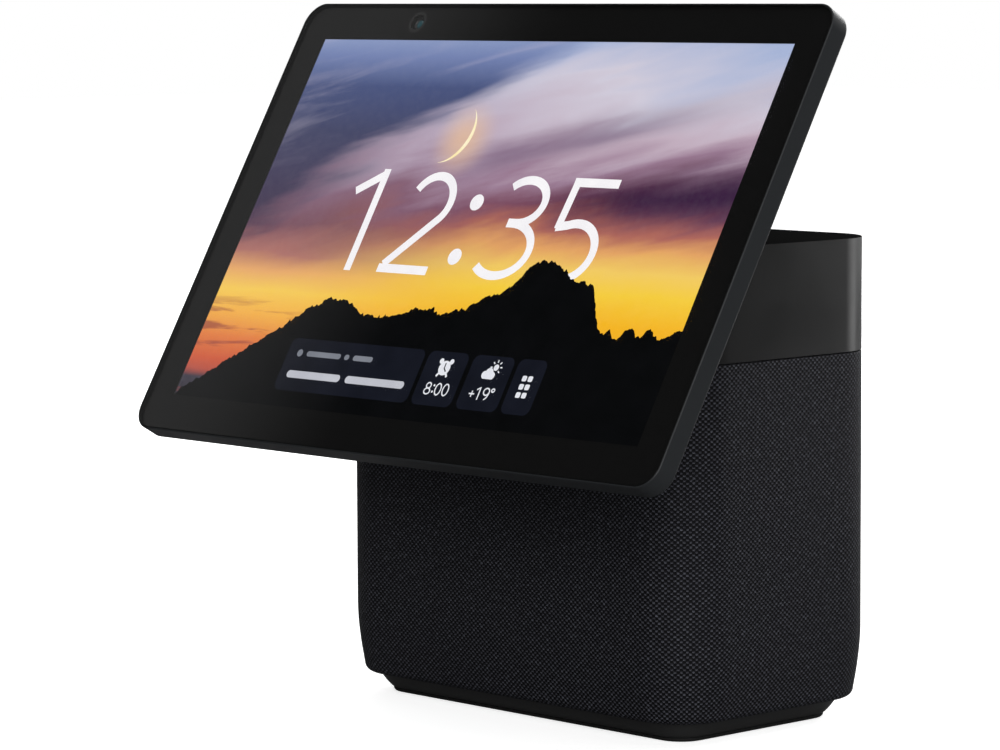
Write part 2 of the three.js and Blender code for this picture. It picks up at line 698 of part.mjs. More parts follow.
// Sliding blade behind the glass, with an arm over the chassis's edge to a thumb knob in the top edge.
function cameraShutter() {
  const edge = SLAB_HEIGHT / 2 - CAMERA_V;
  const blade = box([-SHUTTER_TRAVEL - 3, -3.2, -1.9], [-SHUTTER_TRAVEL + 3.4, 5.4, LAYER_FRONT - 0.1]);
  const bar = box([-SHUTTER_TRAVEL - 3, 3.9, -1.9], [2, 5.4, LAYER_FRONT - 0.1]);
  const leg = box([-2, 3.9, -5.4], [2, 5.4, -1.8]);
  const neck = box([-2, 5.3, -5.4], [2, edge + 0.5, -4.2]);
  const knob = plate(9, 2.4, 0.8, edge + 0.3, edge + 1.1).rotateX(-Math.PI / 2).translate(0, 0, -4.8);
  return join(blade, bar, leg, neck, knob);
}

function displayBoard() {
  const sheet = box([-55, -14, -6.1], [55, 14, -5.5]);
  const parts = [
    box([-40, -6, -5.6], [-22, 6, -4.95]),
    box([-10, -5, -5.6], [2, 7, -4.95]),
    box([20, -4, -5.6], [44, 2, -4.95]),
  ];
  return join(sheet, ...parts);
}

// Steel plate across the back of the housing, with the two moving eyes of the hinge.
function hingeLeaf() {
  const front = -SLAB_DEPTH - GAP;
  const back = front - 1.5;
  const sheet = plate(104, 30, 4, back, front).translate(0, HINGE_V, 0);
  const eyes = [-1, 1].flatMap((side) => {
    const [near, far] = MOVING_EYE;
    const low = side > 0 ? near : -far;
    return [
      box([low, HINGE_V - 4.5, HINGE_W], [low + far - near, HINGE_V + 4.5, back + 0.5]),
      turnedAboutX(rod(EYE_RADIUS, low, low + far - near)).translate(0, HINGE_V, HINGE_W),
    ];
  });
  const bore = turnedAboutX(rod(EYE_BORE, -50, 50)).translate(0, HINGE_V, HINGE_W);
  const screwHoles = leafScrewPlaces.map(([x, y]) =>
    turnedAboutZ(rod(1.7, back - 1, front + 1), SMALL_ROUND_STEPS).translate(x, y, 0),
  );
  return cut(join(sheet, ...eyes), bore, ...screwHoles);
}

// ---- Assembly ----

const display = new THREE.Group();

function buildFoot() {
  display.add(mesh("rubber_foot", rubberFoot(), finishes.rubber));
  display.add(mesh("foot_plinth", footPlinth(), finishes.satinBlack));
  footScrewPlaces.forEach(([x, y], k) => {
    const geometry = screw(3, 2.2, 1.4, 12).rotateX(Math.PI);
    display.add(mesh(`foot_screw_${k + 1}`, geometry, finishes.steel, x, y, 2));
  });
}

function buildEnclosure() {
  display.add(mesh("fabric_sleeve", fabricSleeve(), finishes.fabric));
  display.add(mesh("speaker_shell", speakerShell(), finishes.innerPlastic));
  display.add(mesh("enclosure_lid", enclosureLid(), finishes.innerPlastic));
  enclosureScrewPlaces.forEach(([x, y], k) => {
    const geometry = screw(3, 2, 1.4, 14);
    display.add(mesh(`enclosure_screw_${k + 1}`, geometry, finishes.steel, x, y, FLANGE_TOP + GAP + 2));
  });
}

function buildDrivers() {
  const rim = FRONT_INNER_Y + GAP;
  display.add(mesh("woofer_basket", wooferBasket(), finishes.blackSteel, 0, 0, WOOFER_Z));
  display.add(mesh("woofer_magnet", wooferMagnet(), finishes.steel, 0, GAP, WOOFER_Z));
  display.add(mesh("woofer_cone", wooferCone(), finishes.paper, 0, 0, WOOFER_Z));
  const surround = halfRoll(WOOFER_RADIUS - 6 + GAP, WOOFER_RADIUS);
  display.add(mesh("woofer_surround", surround, finishes.rubber, 0, rim + 1.2, WOOFER_Z));
  for (const side of [-1, 1]) {
    const hand = side < 0 ? "left" : "right";
    const turn = (side * Math.PI) / 2;
    const x = side * (SIDE_INNER_X + GAP - DRIVER_TRAVEL);
    const disc = radiatorPlate().rotateZ(turn);
    display.add(mesh(`radiator_plate_${hand}`, disc, finishes.blackSteel, x, 0, WOOFER_Z));
    const roll = halfRoll(RADIATOR_RADIUS - 7 + GAP, RADIATOR_RADIUS - GAP).rotateZ(turn);
    display.add(mesh(`radiator_surround_${hand}`, roll, finishes.rubber, x, 0, WOOFER_Z));
    display.add(
      mesh(`tweeter_${hand}`, tweeter(), finishes.paper, side * TWEETER_X, FRONT_INNER_Y, TWEETER_Z),
    );
  }
}

function buildElectronics() {
  display.add(mesh("main_board", mainBoard(), finishes.board, 0, 39, 46));
  display.add(mesh("heat_sink", heatSink(), finishes.aluminium, -4, 37.2, 60));
  display.add(mesh("socket_surround", socketSurround(), finishes.satinBlack));
  display.add(mesh("power_jack", powerJack(), finishes.blackSteel, 0, 0, SOCKET_Z));
}

function buildTop() {
  display.add(mesh("collar", collar(), finishes.satinBlack));
  display.add(mesh("top_plate", topPlate(), finishes.satinBlack));
  for (const { name, x, width } of buttons) {
    display.add(mesh(name, button(width), finishes.darkPlastic, x, BUTTON_Y, 0));
  }
  display.add(mesh("button_board", buttonBoard(), finishes.board, 0, BUTTON_Y, 0));
}

function buildHinge() {
  display.add(mesh("hinge_bracket", hingeBracket(), finishes.blackSteel));
  display.add(mesh("hinge_pin", hingePin(), finishes.steel, 0, HINGE_Y, HINGE_Z));
  for (const side of [-1, 1]) {
    const washer = frictionWasher();
    if (side < 0) washer.rotateZ(Math.PI);
    const name = `friction_washer_${side < 0 ? "left" : "right"}`;
    display.add(mesh(name, washer, finishes.steel, side * FIXED_EYE[1], HINGE_Y, HINGE_Z));
  }
  display.add(mesh("neck_cover_upper", neckCover(1), finishes.satinBlack));
  display.add(mesh("neck_cover_lower", neckCover(-1), finishes.satinBlack));
  display.add(mesh("display_cable", displayCable(), finishes.darkPlastic));
  bracketScrewPlaces.forEach(([x, z], k) => {
    const geometry = screw(3, 2, 1.4, 5.6).rotateX(-Math.PI / 2);
    const y = COLLAR_INNER_Y + 2 * GAP + 2.5 + 2;
    display.add(mesh(`bracket_screw_${k + 1}`, geometry, finishes.steel, x, y, z));
  });
}

function buildScreen() {
  const slab = new THREE.Group();
  slab.position.set(0, SLAB_Y, SLAB_Z);
  slab.rotation.x = Math.PI / 2 - SLAB_TILT;
  slab.add(mesh("rear_housing", rearHousing(), finishes.darkPlastic));
  slab.add(mesh("cover_glass", coverGlass(), finishes.glass));
  slab.add(mesh("glass_gasket", glassGasket(), finishes.foam));
  slab.add(mesh("display_panel", plate(222.4, 141, 1, LAYER_BACK, LAYER_FRONT), finishes.aluminium));
  slab.add(mesh("chassis_plate", chassisPlate(), finishes.aluminium));
  slab.add(mesh("display_board", displayBoard(), finishes.board, 0, -58, 0));
  slab.add(mesh("camera_module", cameraModule(), finishes.blackSteel, CAMERA_U, CAMERA_V, 0));
  slab.add(mesh("camera_lens", cameraLens(), finishes.lens, CAMERA_U, CAMERA_V, 0));
  const cameraBoard = box([-9, -8, -6.1], [9, 2.8, -5.5]);
  slab.add(mesh("camera_board", cameraBoard, finishes.board, CAMERA_U, CAMERA_V, 0));
  slab.add(mesh("camera_shutter", cameraShutter(), finishes.darkPlastic, CAMERA_U, CAMERA_V, 0));
  slab.add(mesh("hinge_leaf", hingeLeaf(), finishes.blackSteel));
  leafScrewPlaces.forEach(([x, y], k) => {
    const geometry = screw(3, 1.4, 1.4, 6.6).rotateX(Math.PI);
    const z = -SLAB_DEPTH - 2 * GAP - 1.5 - 1.4;
    slab.add(mesh(`leaf_screw_${k + 1}`, geometry, finishes.steel, x, y, z));
  });
  display.add(slab);
}

buildFoot();
buildEnclosure();
buildDrivers();
buildElectronics();
buildTop();
buildHinge();
buildScreen();

export default display;
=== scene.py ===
"""Looks of the smart display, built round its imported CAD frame.

Shapes are worked out in millimetres in the CAD's own frame, and a mesh is made from them in metres.
The screen's pieces are worked out in the slab's frame: x to the right, y up the glass, z out of it.
"""

import json
import math

import bmesh
import bpy
import numpy as np
from mathutils import Matrix, Vector
from mathutils.kdtree import KDTree


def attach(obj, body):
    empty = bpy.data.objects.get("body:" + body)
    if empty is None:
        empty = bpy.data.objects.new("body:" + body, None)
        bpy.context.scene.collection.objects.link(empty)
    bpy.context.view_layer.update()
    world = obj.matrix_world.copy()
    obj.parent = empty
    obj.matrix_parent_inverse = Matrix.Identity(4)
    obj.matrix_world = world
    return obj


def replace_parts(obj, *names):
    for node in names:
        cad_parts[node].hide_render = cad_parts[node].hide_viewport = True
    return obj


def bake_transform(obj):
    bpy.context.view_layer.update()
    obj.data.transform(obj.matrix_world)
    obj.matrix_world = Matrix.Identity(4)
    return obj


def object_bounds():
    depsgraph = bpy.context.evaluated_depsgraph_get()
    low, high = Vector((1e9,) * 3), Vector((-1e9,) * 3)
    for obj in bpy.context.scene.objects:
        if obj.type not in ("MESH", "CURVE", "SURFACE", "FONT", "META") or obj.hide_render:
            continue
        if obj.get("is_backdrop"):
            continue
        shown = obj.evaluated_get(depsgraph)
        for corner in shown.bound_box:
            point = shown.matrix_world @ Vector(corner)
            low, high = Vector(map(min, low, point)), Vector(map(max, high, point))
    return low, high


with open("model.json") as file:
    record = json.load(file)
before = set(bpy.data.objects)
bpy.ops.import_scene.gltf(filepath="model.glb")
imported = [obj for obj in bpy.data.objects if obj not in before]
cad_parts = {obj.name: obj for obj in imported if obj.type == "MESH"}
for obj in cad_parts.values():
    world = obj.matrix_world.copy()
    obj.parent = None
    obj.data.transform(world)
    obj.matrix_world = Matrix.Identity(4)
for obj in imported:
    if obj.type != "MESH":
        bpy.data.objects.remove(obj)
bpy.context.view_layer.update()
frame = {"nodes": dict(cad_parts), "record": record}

MM = 0.001

# ---- The CAD's driving dimensions ----

BASE = (164.5, 95.9, 21.2)  # width, depth and corner radius, as in SLAB
BASE_HEIGHT = 156.5
FOOT_HEIGHT = 7.0
FOOT_INSET = 12.0
COLLAR_BOTTOM = 120.1
COLLAR_WALL = 2.4
COLLAR_RIM = 1.1
FABRIC_TOP = 119.8
FABRIC_THICKNESS = 1.4
TUCK_TOP = 30.0
TUCK_DEPTH = 2.3
EDGE_RADIUS = 2.8
LIP_INSET = 10.4
PLATE_TOP = 156.1
PLATE_THICKNESS = 1.6

SLAB = (243.4, 162.4, 8.0)
SLAB_DEPTH = 7.8
SLAB_RIM = 0.9
SLAB_Y = -61.1
SLAB_Z = 161.2
SLAB_TILT = math.radians(30.17)
ACTIVE = (216.96, 135.6)
HINGE_V = -24.7
HINGE_W = -15.63
CABLE_V = -44.7
LEAF_SCREWS = (42, 10)  # to each side of the hinge leaf's middle
CAMERA = (-65.0, 74.5)
SOCKET_Z = 26.0
SOCKET_FACE = BASE[1] / 2 - 0.2
SOCKET = (26, 16, 6)
BUTTON_Y = 8.0
BUTTON_DEPTH = 9.0
NECK_HALF = 33.0
GAP = 0.3

to_slab = Matrix.Translation((0, SLAB_Y, SLAB_Z)) @ Matrix.Rotation(math.pi / 2 - SLAB_TILT, 4, "X")
HINGE_Y, HINGE_Z = (to_slab @ Vector((0, HINGE_V, HINGE_W)))[1:]
NECK_BOTTOM = HINGE_Z - 7.4
NECK_TOP = HINGE_Z + 9
behind = Matrix.Translation((0, 0, SOCKET_Z)) @ Matrix.Rotation(-math.pi / 2, 4, "X")

# ---- Meshes ----


def piece(name, points, faces, body, slot, material=None, place=None, sharp=30.0):
    """A smooth-shaded mesh from points in millimetres, with edges sharper than an angle kept sharp.

    It has its slot's own material, unless another is given.
    """
    mesh = bpy.data.meshes.new(name)
    points = np.asarray(points, float).reshape(-1, 3)
    if place is not None:
        points = points @ np.array(place.to_3x3()).T + np.array(place.translation)
    mesh.from_pydata((points * MM).tolist(), [], [list(map(int, f)) for f in faces])
    mesh.validate()
    mesh.update()
    made = bpy.data.objects.new(name, mesh)
    bpy.context.scene.collection.objects.link(made)
    dress(made, material or looks[slot], sharp)
    if body:
        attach(made, body)
    return made


def dress(made, material, sharp=30.0):
    """Gives an object its material and smooth shading."""
    mesh = made.data
    mesh.materials.clear()
    mesh.materials.append(material)
    mesh.polygons.foreach_set("use_smooth", np.ones(len(mesh.polygons), bool))
    mesh.set_sharp_from_angle(angle=math.radians(sharp))


def outline(width, depth, radius, steps, side=2):
    """Points round a rounded rectangle, anticlockwise from the middle of its right side."""
    corners = []
    for corner in range(4):
        sx = 1 if corner in (0, 3) else -1
        sy = 1 if corner < 2 else -1
        angles = math.pi / 2 * (corner + np.linspace(0, 1, steps + 1))
        corners.append(np.stack([
            sx * (width / 2 - radius) + radius * np.cos(angles),
            sy * (depth / 2 - radius) + radius * np.sin(angles),
        ], 1))
    points = []
    for k in range(4):
        points.append(corners[k])
        a, b = corners[k][-1], corners[(k + 1) % 4][0]
        points.append(a + (b - a) * np.linspace(0, 1, side + 1)[1:-1, None])
    return np.concatenate(points)


def strips(rows, count, ring_rows=False, ring_points=True):
    """Quads between rows of points."""
    faces = []
    for i in range(rows if ring_rows else rows - 1):
        low, high = i * count, (i + 1) % rows * count
        for j in range(count if ring_points else count - 1):
            after = (j + 1) % count
            faces.append((low + j, low + after, high + after, high + j))
    return faces


def ends(rows, count):
    """The faces that close the first and the last row of points."""
    return [tuple(range(count))[::-1], tuple(range((rows - 1) * count, rows * count))]


def swept(profile, size, steps, ring=False):
    """A profile of (inset, height) points swept round a rounded rectangle: points and faces."""
    width, depth, radius = size
    rows = []
    for inset, height in profile:
        flat = outline(width - 2 * inset, depth - 2 * inset, max(radius - inset, 0.4), steps)
        rows.append(np.column_stack([flat, np.full(len(flat), height)]))
    count = len(rows[0])
    faces = strips(len(rows), count, ring)
    if not ring:
        faces += ends(len(rows), count)
    return np.concatenate(rows), faces


def oval(centre, rx, ry, start, end, count=28):
    """Points along part of an ellipse, with its ends in degrees."""
    angles = np.radians(np.linspace(start, end, count))
    return [(centre[0] + rx * math.cos(a), centre[1] + ry * math.sin(a)) for a in angles]


def arc(centre, radius, start, end, steps):
    return oval(centre, radius, radius, start, end, steps + 1)


def disc(x, y, radius, steps=32):
    return arc((x, y), radius, 0, 360, steps)[:-1]


def turned(profile, steps):
    """A solid of revolution about Z from (radius, height) points: points and faces."""
    turns = np.linspace(0, 2 * math.pi, steps, endpoint=False)
    points, rows = [], []
    for radius, height in profile:
        if radius < 1e-6:
            rows.append([len(points)])
            points.append((0, 0, height))
        else:
            rows.append(list(range(len(points), len(points) + steps)))
            points += [(radius * math.cos(t), radius * math.sin(t), height) for t in turns]
    faces = []
    for low, high in zip(rows, rows[1:]):
        for j in range(steps):
            k = (j + 1) % steps
            corners = [low[j % len(low)], low[k % len(low)], high[k % len(high)], high[j % len(high)]]
            kept = list(dict.fromkeys(corners))
            if len(kept) > 2:
                faces.append(kept)
    return points, faces


def plate(width, depth, radius, bottom, top, edge=0.0, steps=10):
    """A flat plate with rounded corners and, with an edge, a rounded top and bottom rim."""
    if not edge:
        return swept([(0, bottom), (0, top)], (width, depth, radius), steps)
    low = [(edge - x, bottom + edge - y) for x, y in arc((0, 0), edge, 90, 0, 4)]
    high = [(edge - x, top - edge + y) for x, y in arc((0, 0), edge, 0, 90, 4)]
    return swept(low + high, (width, depth, radius), steps)


def boxed(low, high):
    """A box from its lowest corner to its highest: points and faces."""
    points = [[(low, high)[(k >> i) & 1][i] for i in range(3)] for k in range(8)]
    return points, [(0, 2, 3, 1), (4, 5, 7, 6), (0, 1, 5, 4), (2, 6, 7, 3), (0, 4, 6, 2), (1, 3, 7, 5)]


def joined(*shapes):
    """Several shapes as one: points and faces."""
    points, faces = [], []
    for more, corners in shapes:
        faces += [tuple(len(points) + int(i) for i in f) for f in corners]
        points += [tuple(p) for p in more]
    return points, faces


def moved(shape, place):
    """A shape's points turned and shifted, with its faces as they are."""
    points = np.asarray(shape[0], float)
    return points @ np.array(place.to_3x3()).T + np.array(place.translation), shape[1]


def carved(made, *tools):
    """Cuts shapes in millimetres out of a piece, in the piece's own frame."""
    for points, faces in tools:
        cutter = piece("cutter", points, faces, None, None, made.data.materials[0])
        cut = made.modifiers.new("cut", "BOOLEAN")
        cut.operation, cut.solver, cut.object = "DIFFERENCE", "EXACT", cutter
        bpy.context.view_layer.update()
        shape = made.evaluated_get(bpy.context.evaluated_depsgraph_get())
        result = bpy.data.meshes.new_from_object(shape)
        made.modifiers.clear()
        made.data = result
        bpy.data.objects.remove(cutter)
    dress(made, made.data.materials[0])


def settled(made, place):
    """Moves a piece's mesh once it is carved. The place is in millimetres."""
    metres = Matrix.Scale(MM, 4)
    made.data.transform(metres @ place @ metres.inverted())


def along(axis, place):
    """The matrix that turns +Z to an axis, then moves to a place."""
    return Matrix.Translation(place) @ Vector(axis).to_track_quat("Z", "Y").to_matrix().to_4x4()


# ---- Material graphs ----


class Graph:
    """The nodes of a new material, or of the owner given. Each call adds one node and returns its output."""

    def __init__(self, name, owner=None):
        self.owner = owner or bpy.data.materials.new(name)
        self.owner.use_nodes = True
        self.tree = self.owner.node_tree
        self.tree.nodes.clear()

    def add(self, kind, inputs=None, output=0, **settings):
        made = self.tree.nodes.new("ShaderNode" + kind)
        for key, value in settings.items():
            setattr(made, key, value)
        for key, value in (inputs or {}).items():
            if isinstance(value, bpy.types.NodeSocket):
                self.tree.links.new(value, made.inputs[key])
            else:
                made.inputs[key].default_value = value
        return made.outputs[output]

    def place(self, stretch=(1, 1, 1)):
        """Object coordinates in millimetres, stretched."""
        return self.add("Mapping", {
            "Vector": self.add("TexCoord", output=3), "Scale": tuple(s / MM for s in stretch),
        })

    def noise(self, where, scale, detail=3.0, rough=0.5, distortion=0.0):
        return self.add("TexNoise", {
            "Vector": where, "Scale": scale, "Detail": detail, "Roughness": rough, "Distortion": distortion,
        })

    def math(self, operation, a, b=0.0):
        return self.add("Math", {0: a, 1: b}, operation=operation)

    def plus(self, a, b):
        return self.math("ADD", a, b)

    def minus(self, a, b):
        return self.math("SUBTRACT", a, b)

    def times(self, a, b):
        return self.math("MULTIPLY", a, b)

    def range(self, value, low, high, to_low=0.0, to_high=1.0, smooth=False):
        return self.add("MapRange", {0: value, 1: low, 2: high, 3: to_low, 4: to_high},
                        interpolation_type="SMOOTHSTEP" if smooth else "LINEAR")

    def ramp(self, value, stops):
        """Colours at stops of a position and three display values.

        The ramp sorts its stops, so all are placed before any is coloured.
        """
        made = self.add("ValToRGB", {0: value}).node
        elements = made.color_ramp.elements
        while len(elements) < len(stops):
            elements.new(0.5)
        for element, (at, *_) in zip(elements, stops):
            element.position = at
        for element, (_, *colour) in zip(elements, stops):
            element.color = srgb(*colour)
        return made.outputs[0]

    def mix(self, factor, a, b):
        return self.add("Mix", {0: factor, 6: a, 7: b}, output=2, data_type="RGBA")

    def bump(self, height, distance):
        return self.add("Bump", {"Height": height, "Distance": distance * MM})

    def finish(self, surface, kind="OutputMaterial"):
        output = self.tree.nodes.new("ShaderNode" + kind)
        self.tree.links.new(surface, output.inputs["Surface"])
        return self.owner

    def principled(self, **inputs):
        return self.finish(self.add("BsdfPrincipled", {k.replace("_", " "): v for k, v in inputs.items()}))


def grey(value, blue=0.0):
    """A grey, with some part more blue."""
    return (value, value * (1 + blue / 2), value * (1 + blue), 1)


def srgb(*values):
    """A linear colour from display values of 0 to 255."""
    return tuple((v / 255 / 12.92 if v <= 10 else ((v / 255 + 0.055) / 1.055) ** 2.4) for v in values) + (1,)


def moulded(name, base, rough, grain=0.012, specular=0.4, blue=0.0, scale=4.0):
    """Moulded plastic with a fine spark-eroded grain and faint uneven gloss."""
    g = Graph(name)
    where = g.place()
    grained = g.noise(where, scale, 4.0, 0.65)
    patches = g.noise(where, 0.035, 3.0)
    colour = g.mix(g.range(grained, 0.3, 0.7), grey(base * 0.86, blue), grey(base * 1.14, blue))
    worn = g.range(patches, 0.35, 0.65, rough - 0.05, rough + 0.05)
    roughness = g.plus(worn, g.range(grained, 0.2, 0.8, -0.05, 0.05))
    return g.principled(
        Base_Color=colour, Roughness=roughness, Specular_IOR_Level=specular,
        Normal=g.bump(grained, grain),
    )


def rubber(name, base, rough):
    """Matte rubber with a fine pitted skin and a trace of dust."""
    g = Graph(name)
    where = g.place()
    pits = g.noise(where, 6.0, 5.0, 0.7)
    dust = g.noise(where, 0.12, 5.0, 0.6)
    colour = g.mix(g.range(dust, 0.5, 0.8, 0, 0.5), grey(base), grey(base * 2.0))
    return g.principled(
        Base_Color=g.mix(g.range(pits, 0.3, 0.7), colour, grey(base * 0.7)),
        Roughness=g.range(pits, 0.3, 0.7, rough - 0.08, rough + 0.06), Specular_IOR_Level=0.25,
        Normal=g.bump(pits, 0.03),
    )


def metal(name, base, rough, stretch=(1, 1, 1), scale=2.0, metallic=1.0, bump=0.006):
    """Plated, brushed or milled metal: fine streaks along one direction."""
    g = Graph(name)
    streaks = g.noise(g.place(stretch), scale, 5.0, 0.7)
    cloud = g.noise(g.place(), 0.2, 3.0)
    low, high = (tuple(c * k for c in base) + (1,) for k in (0.82, 1.08))
    return g.principled(
        Base_Color=g.mix(g.range(streaks, 0.3, 0.7), low, high), Metallic=metallic,
        Roughness=g.plus(g.range(streaks, 0.3, 0.7, rough - 0.06, rough + 0.06),
                         g.range(cloud, 0.3, 0.7, -0.04, 0.04)),
        Normal=g.bump(streaks, bump),
    )


def circuit(name):
    """Green solder mask over copper traces, with pads."""
    g = Graph(name)
    where = g.place()
    traces = g.add("TexBrick", {
        "Vector": where, "Scale": 0.35, "Mortar Size": 0.03, "Color1": (0, 0, 0, 1), "Color2": (0, 0, 0, 1),
        "Mortar": (1, 1, 1, 1), "Brick Width": 0.9, "Row Height": 0.5,
    })
    pads = g.range(g.add("TexVoronoi", {"Vector": where, "Scale": 0.6}), 0.1, 0.14, 1, 0)
    mask = g.mix(traces, (0.006, 0.05, 0.018, 1), (0.012, 0.11, 0.04, 1))
    return g.principled(
        Base_Color=g.mix(pads, mask, (0.55, 0.5, 0.35, 1)), Metallic=g.times(pads, 0.9),
        Roughness=g.range(g.noise(where, 1.5), 0.3, 0.7, 0.28, 0.42), Normal=g.bump(traces, 0.03),
    )


def knit(name):
    """Spacer knit: staggered open cells, each under a raised arc of yarn, with painted shade in the open
    cells and a painted highlight on each arc's upper side.
    """
    g = Graph(name)
    where = g.add("Attribute", output=1, attribute_name="weave")
    drift = g.add("TexNoise", {"Vector": where, "Scale": 0.7, "Detail": 2.0}, output=1)
    drift = g.add("VectorMath", {0: drift, 1: (0.5, 0.5, 0.5)}, operation="SUBTRACT")
    drift = g.add("VectorMath", {0: drift, "Scale": 0.22}, operation="SCALE")
    where = g.add("VectorMath", {0: where, 1: drift}, operation="ADD")
    x, y = g.add("SeparateXYZ", {0: where}).node.outputs[:2]
    turn = 2 * math.pi
    across = g.math("COSINE", g.times(x, turn))
    cell = g.times(across, g.math("COSINE", g.times(y, turn)))
    above = g.times(across, g.math("SINE", g.times(y, turn)))
    yarn = g.range(g.minus(cell, g.times(above, 0.3)), 0.3, -0.4, smooth=True)
    fibre = g.noise(g.add("Mapping", {"Vector": where, "Scale": (9.0, 4.0, 1.0)}), 1.6, 3.0, 0.7)
    patch = g.noise(where, 1.3, 2.0, 0.6)
    broad = g.noise(where, 0.02, 3.0)
    speck = g.noise(where, 0.9, 2.0, 0.7)
    # Painted highlight and shade: each yarn arc is painted lighter on its upper side and darker on its lower
    # side, as if lit from above.
    shade = g.mix(g.range(above, -0.7, 0.9, smooth=True), srgb(18, 18, 23), srgb(88, 89, 97))
    shade = g.mix(g.range(patch, 0.34, 0.62, 0.65, 0.0), shade, srgb(34, 33, 40))
    shade = g.mix(g.range(fibre, 0.35, 0.7, 0.0, 0.5), shade, srgb(30, 30, 36))
    shade = g.mix(g.range(speck, 0.5, 0.72, 0.0, 0.32), shade, srgb(116, 119, 130))
    # Painted shade: the open cells between the yarn arcs are painted near black for the shade in their
    # depth.
    lit = g.mix(yarn, srgb(2, 2, 4), shade)
    lit = g.mix(g.range(broad, 0.35, 0.65, 0.0, 0.2), lit, srgb(14, 13, 19))
    height = g.plus(g.times(yarn, 0.75), g.times(above, 0.2))
    height = g.plus(height, g.times(fibre, 0.15))
    return g.principled(
        Base_Color=lit, Roughness=g.range(fibre, 0.3, 0.7, 0.6, 0.8), Specular_IOR_Level=0.18,
        Normal=g.bump(height, 0.4),
    )


def glass(name):
    """Clear gloss glass: a mirror as strong as the angle makes it, and clear for the rest."""
    g = Graph(name)
    smears = g.noise(g.place(), 0.02, 6.0, 0.6, 0.6)
    edgewise = g.add("LayerWeight", {"Blend": 0.5}, output=1)
    mirror = g.plus(g.times(g.math("POWER", edgewise, 5.0), 0.96), 0.045)
    gloss = g.add("BsdfPrincipled", {
        "Base Color": grey(0.95), "Metallic": 1.0, "Roughness": g.range(smears, 0.4, 0.8, 0.015, 0.06),
    })
    return g.finish(g.add("MixShader", {0: mirror, 1: g.add("BsdfTransparent"), 2: gloss}))


def printed(name, base, rough=0.35):
    """Black print behind the glass, with the slight mottle of screen printing."""
    g = Graph(name)
    mottle = g.noise(g.place(), 3.0, 4.0)
    return g.principled(
        Base_Color=g.mix(g.range(mottle, 0.3, 0.7), grey(base * 0.85), grey(base * 1.15)),
        Roughness=g.range(mottle, 0.3, 0.7, rough - 0.05, rough + 0.05), Specular_IOR_Level=0.05,
    )


def glowing(name, colour, strength, second):
    """A lit mark of the display, which drifts faintly between two colours in display values."""
    g = Graph(name)
    where = g.add("Attribute", output=1, attribute_name="place")
    shade = g.noise(where, 0.09, 2.0)
    light = g.mix(g.range(shade, 0.3, 0.7), srgb(*colour), srgb(*second))
    return g.principled(
        Base_Color=grey(0.002), Roughness=g.range(shade, 0.2, 0.8, 0.45, 0.55), Specular_IOR_Level=0.0,
        Emission_Color=light, Emission_Strength=strength,
    )


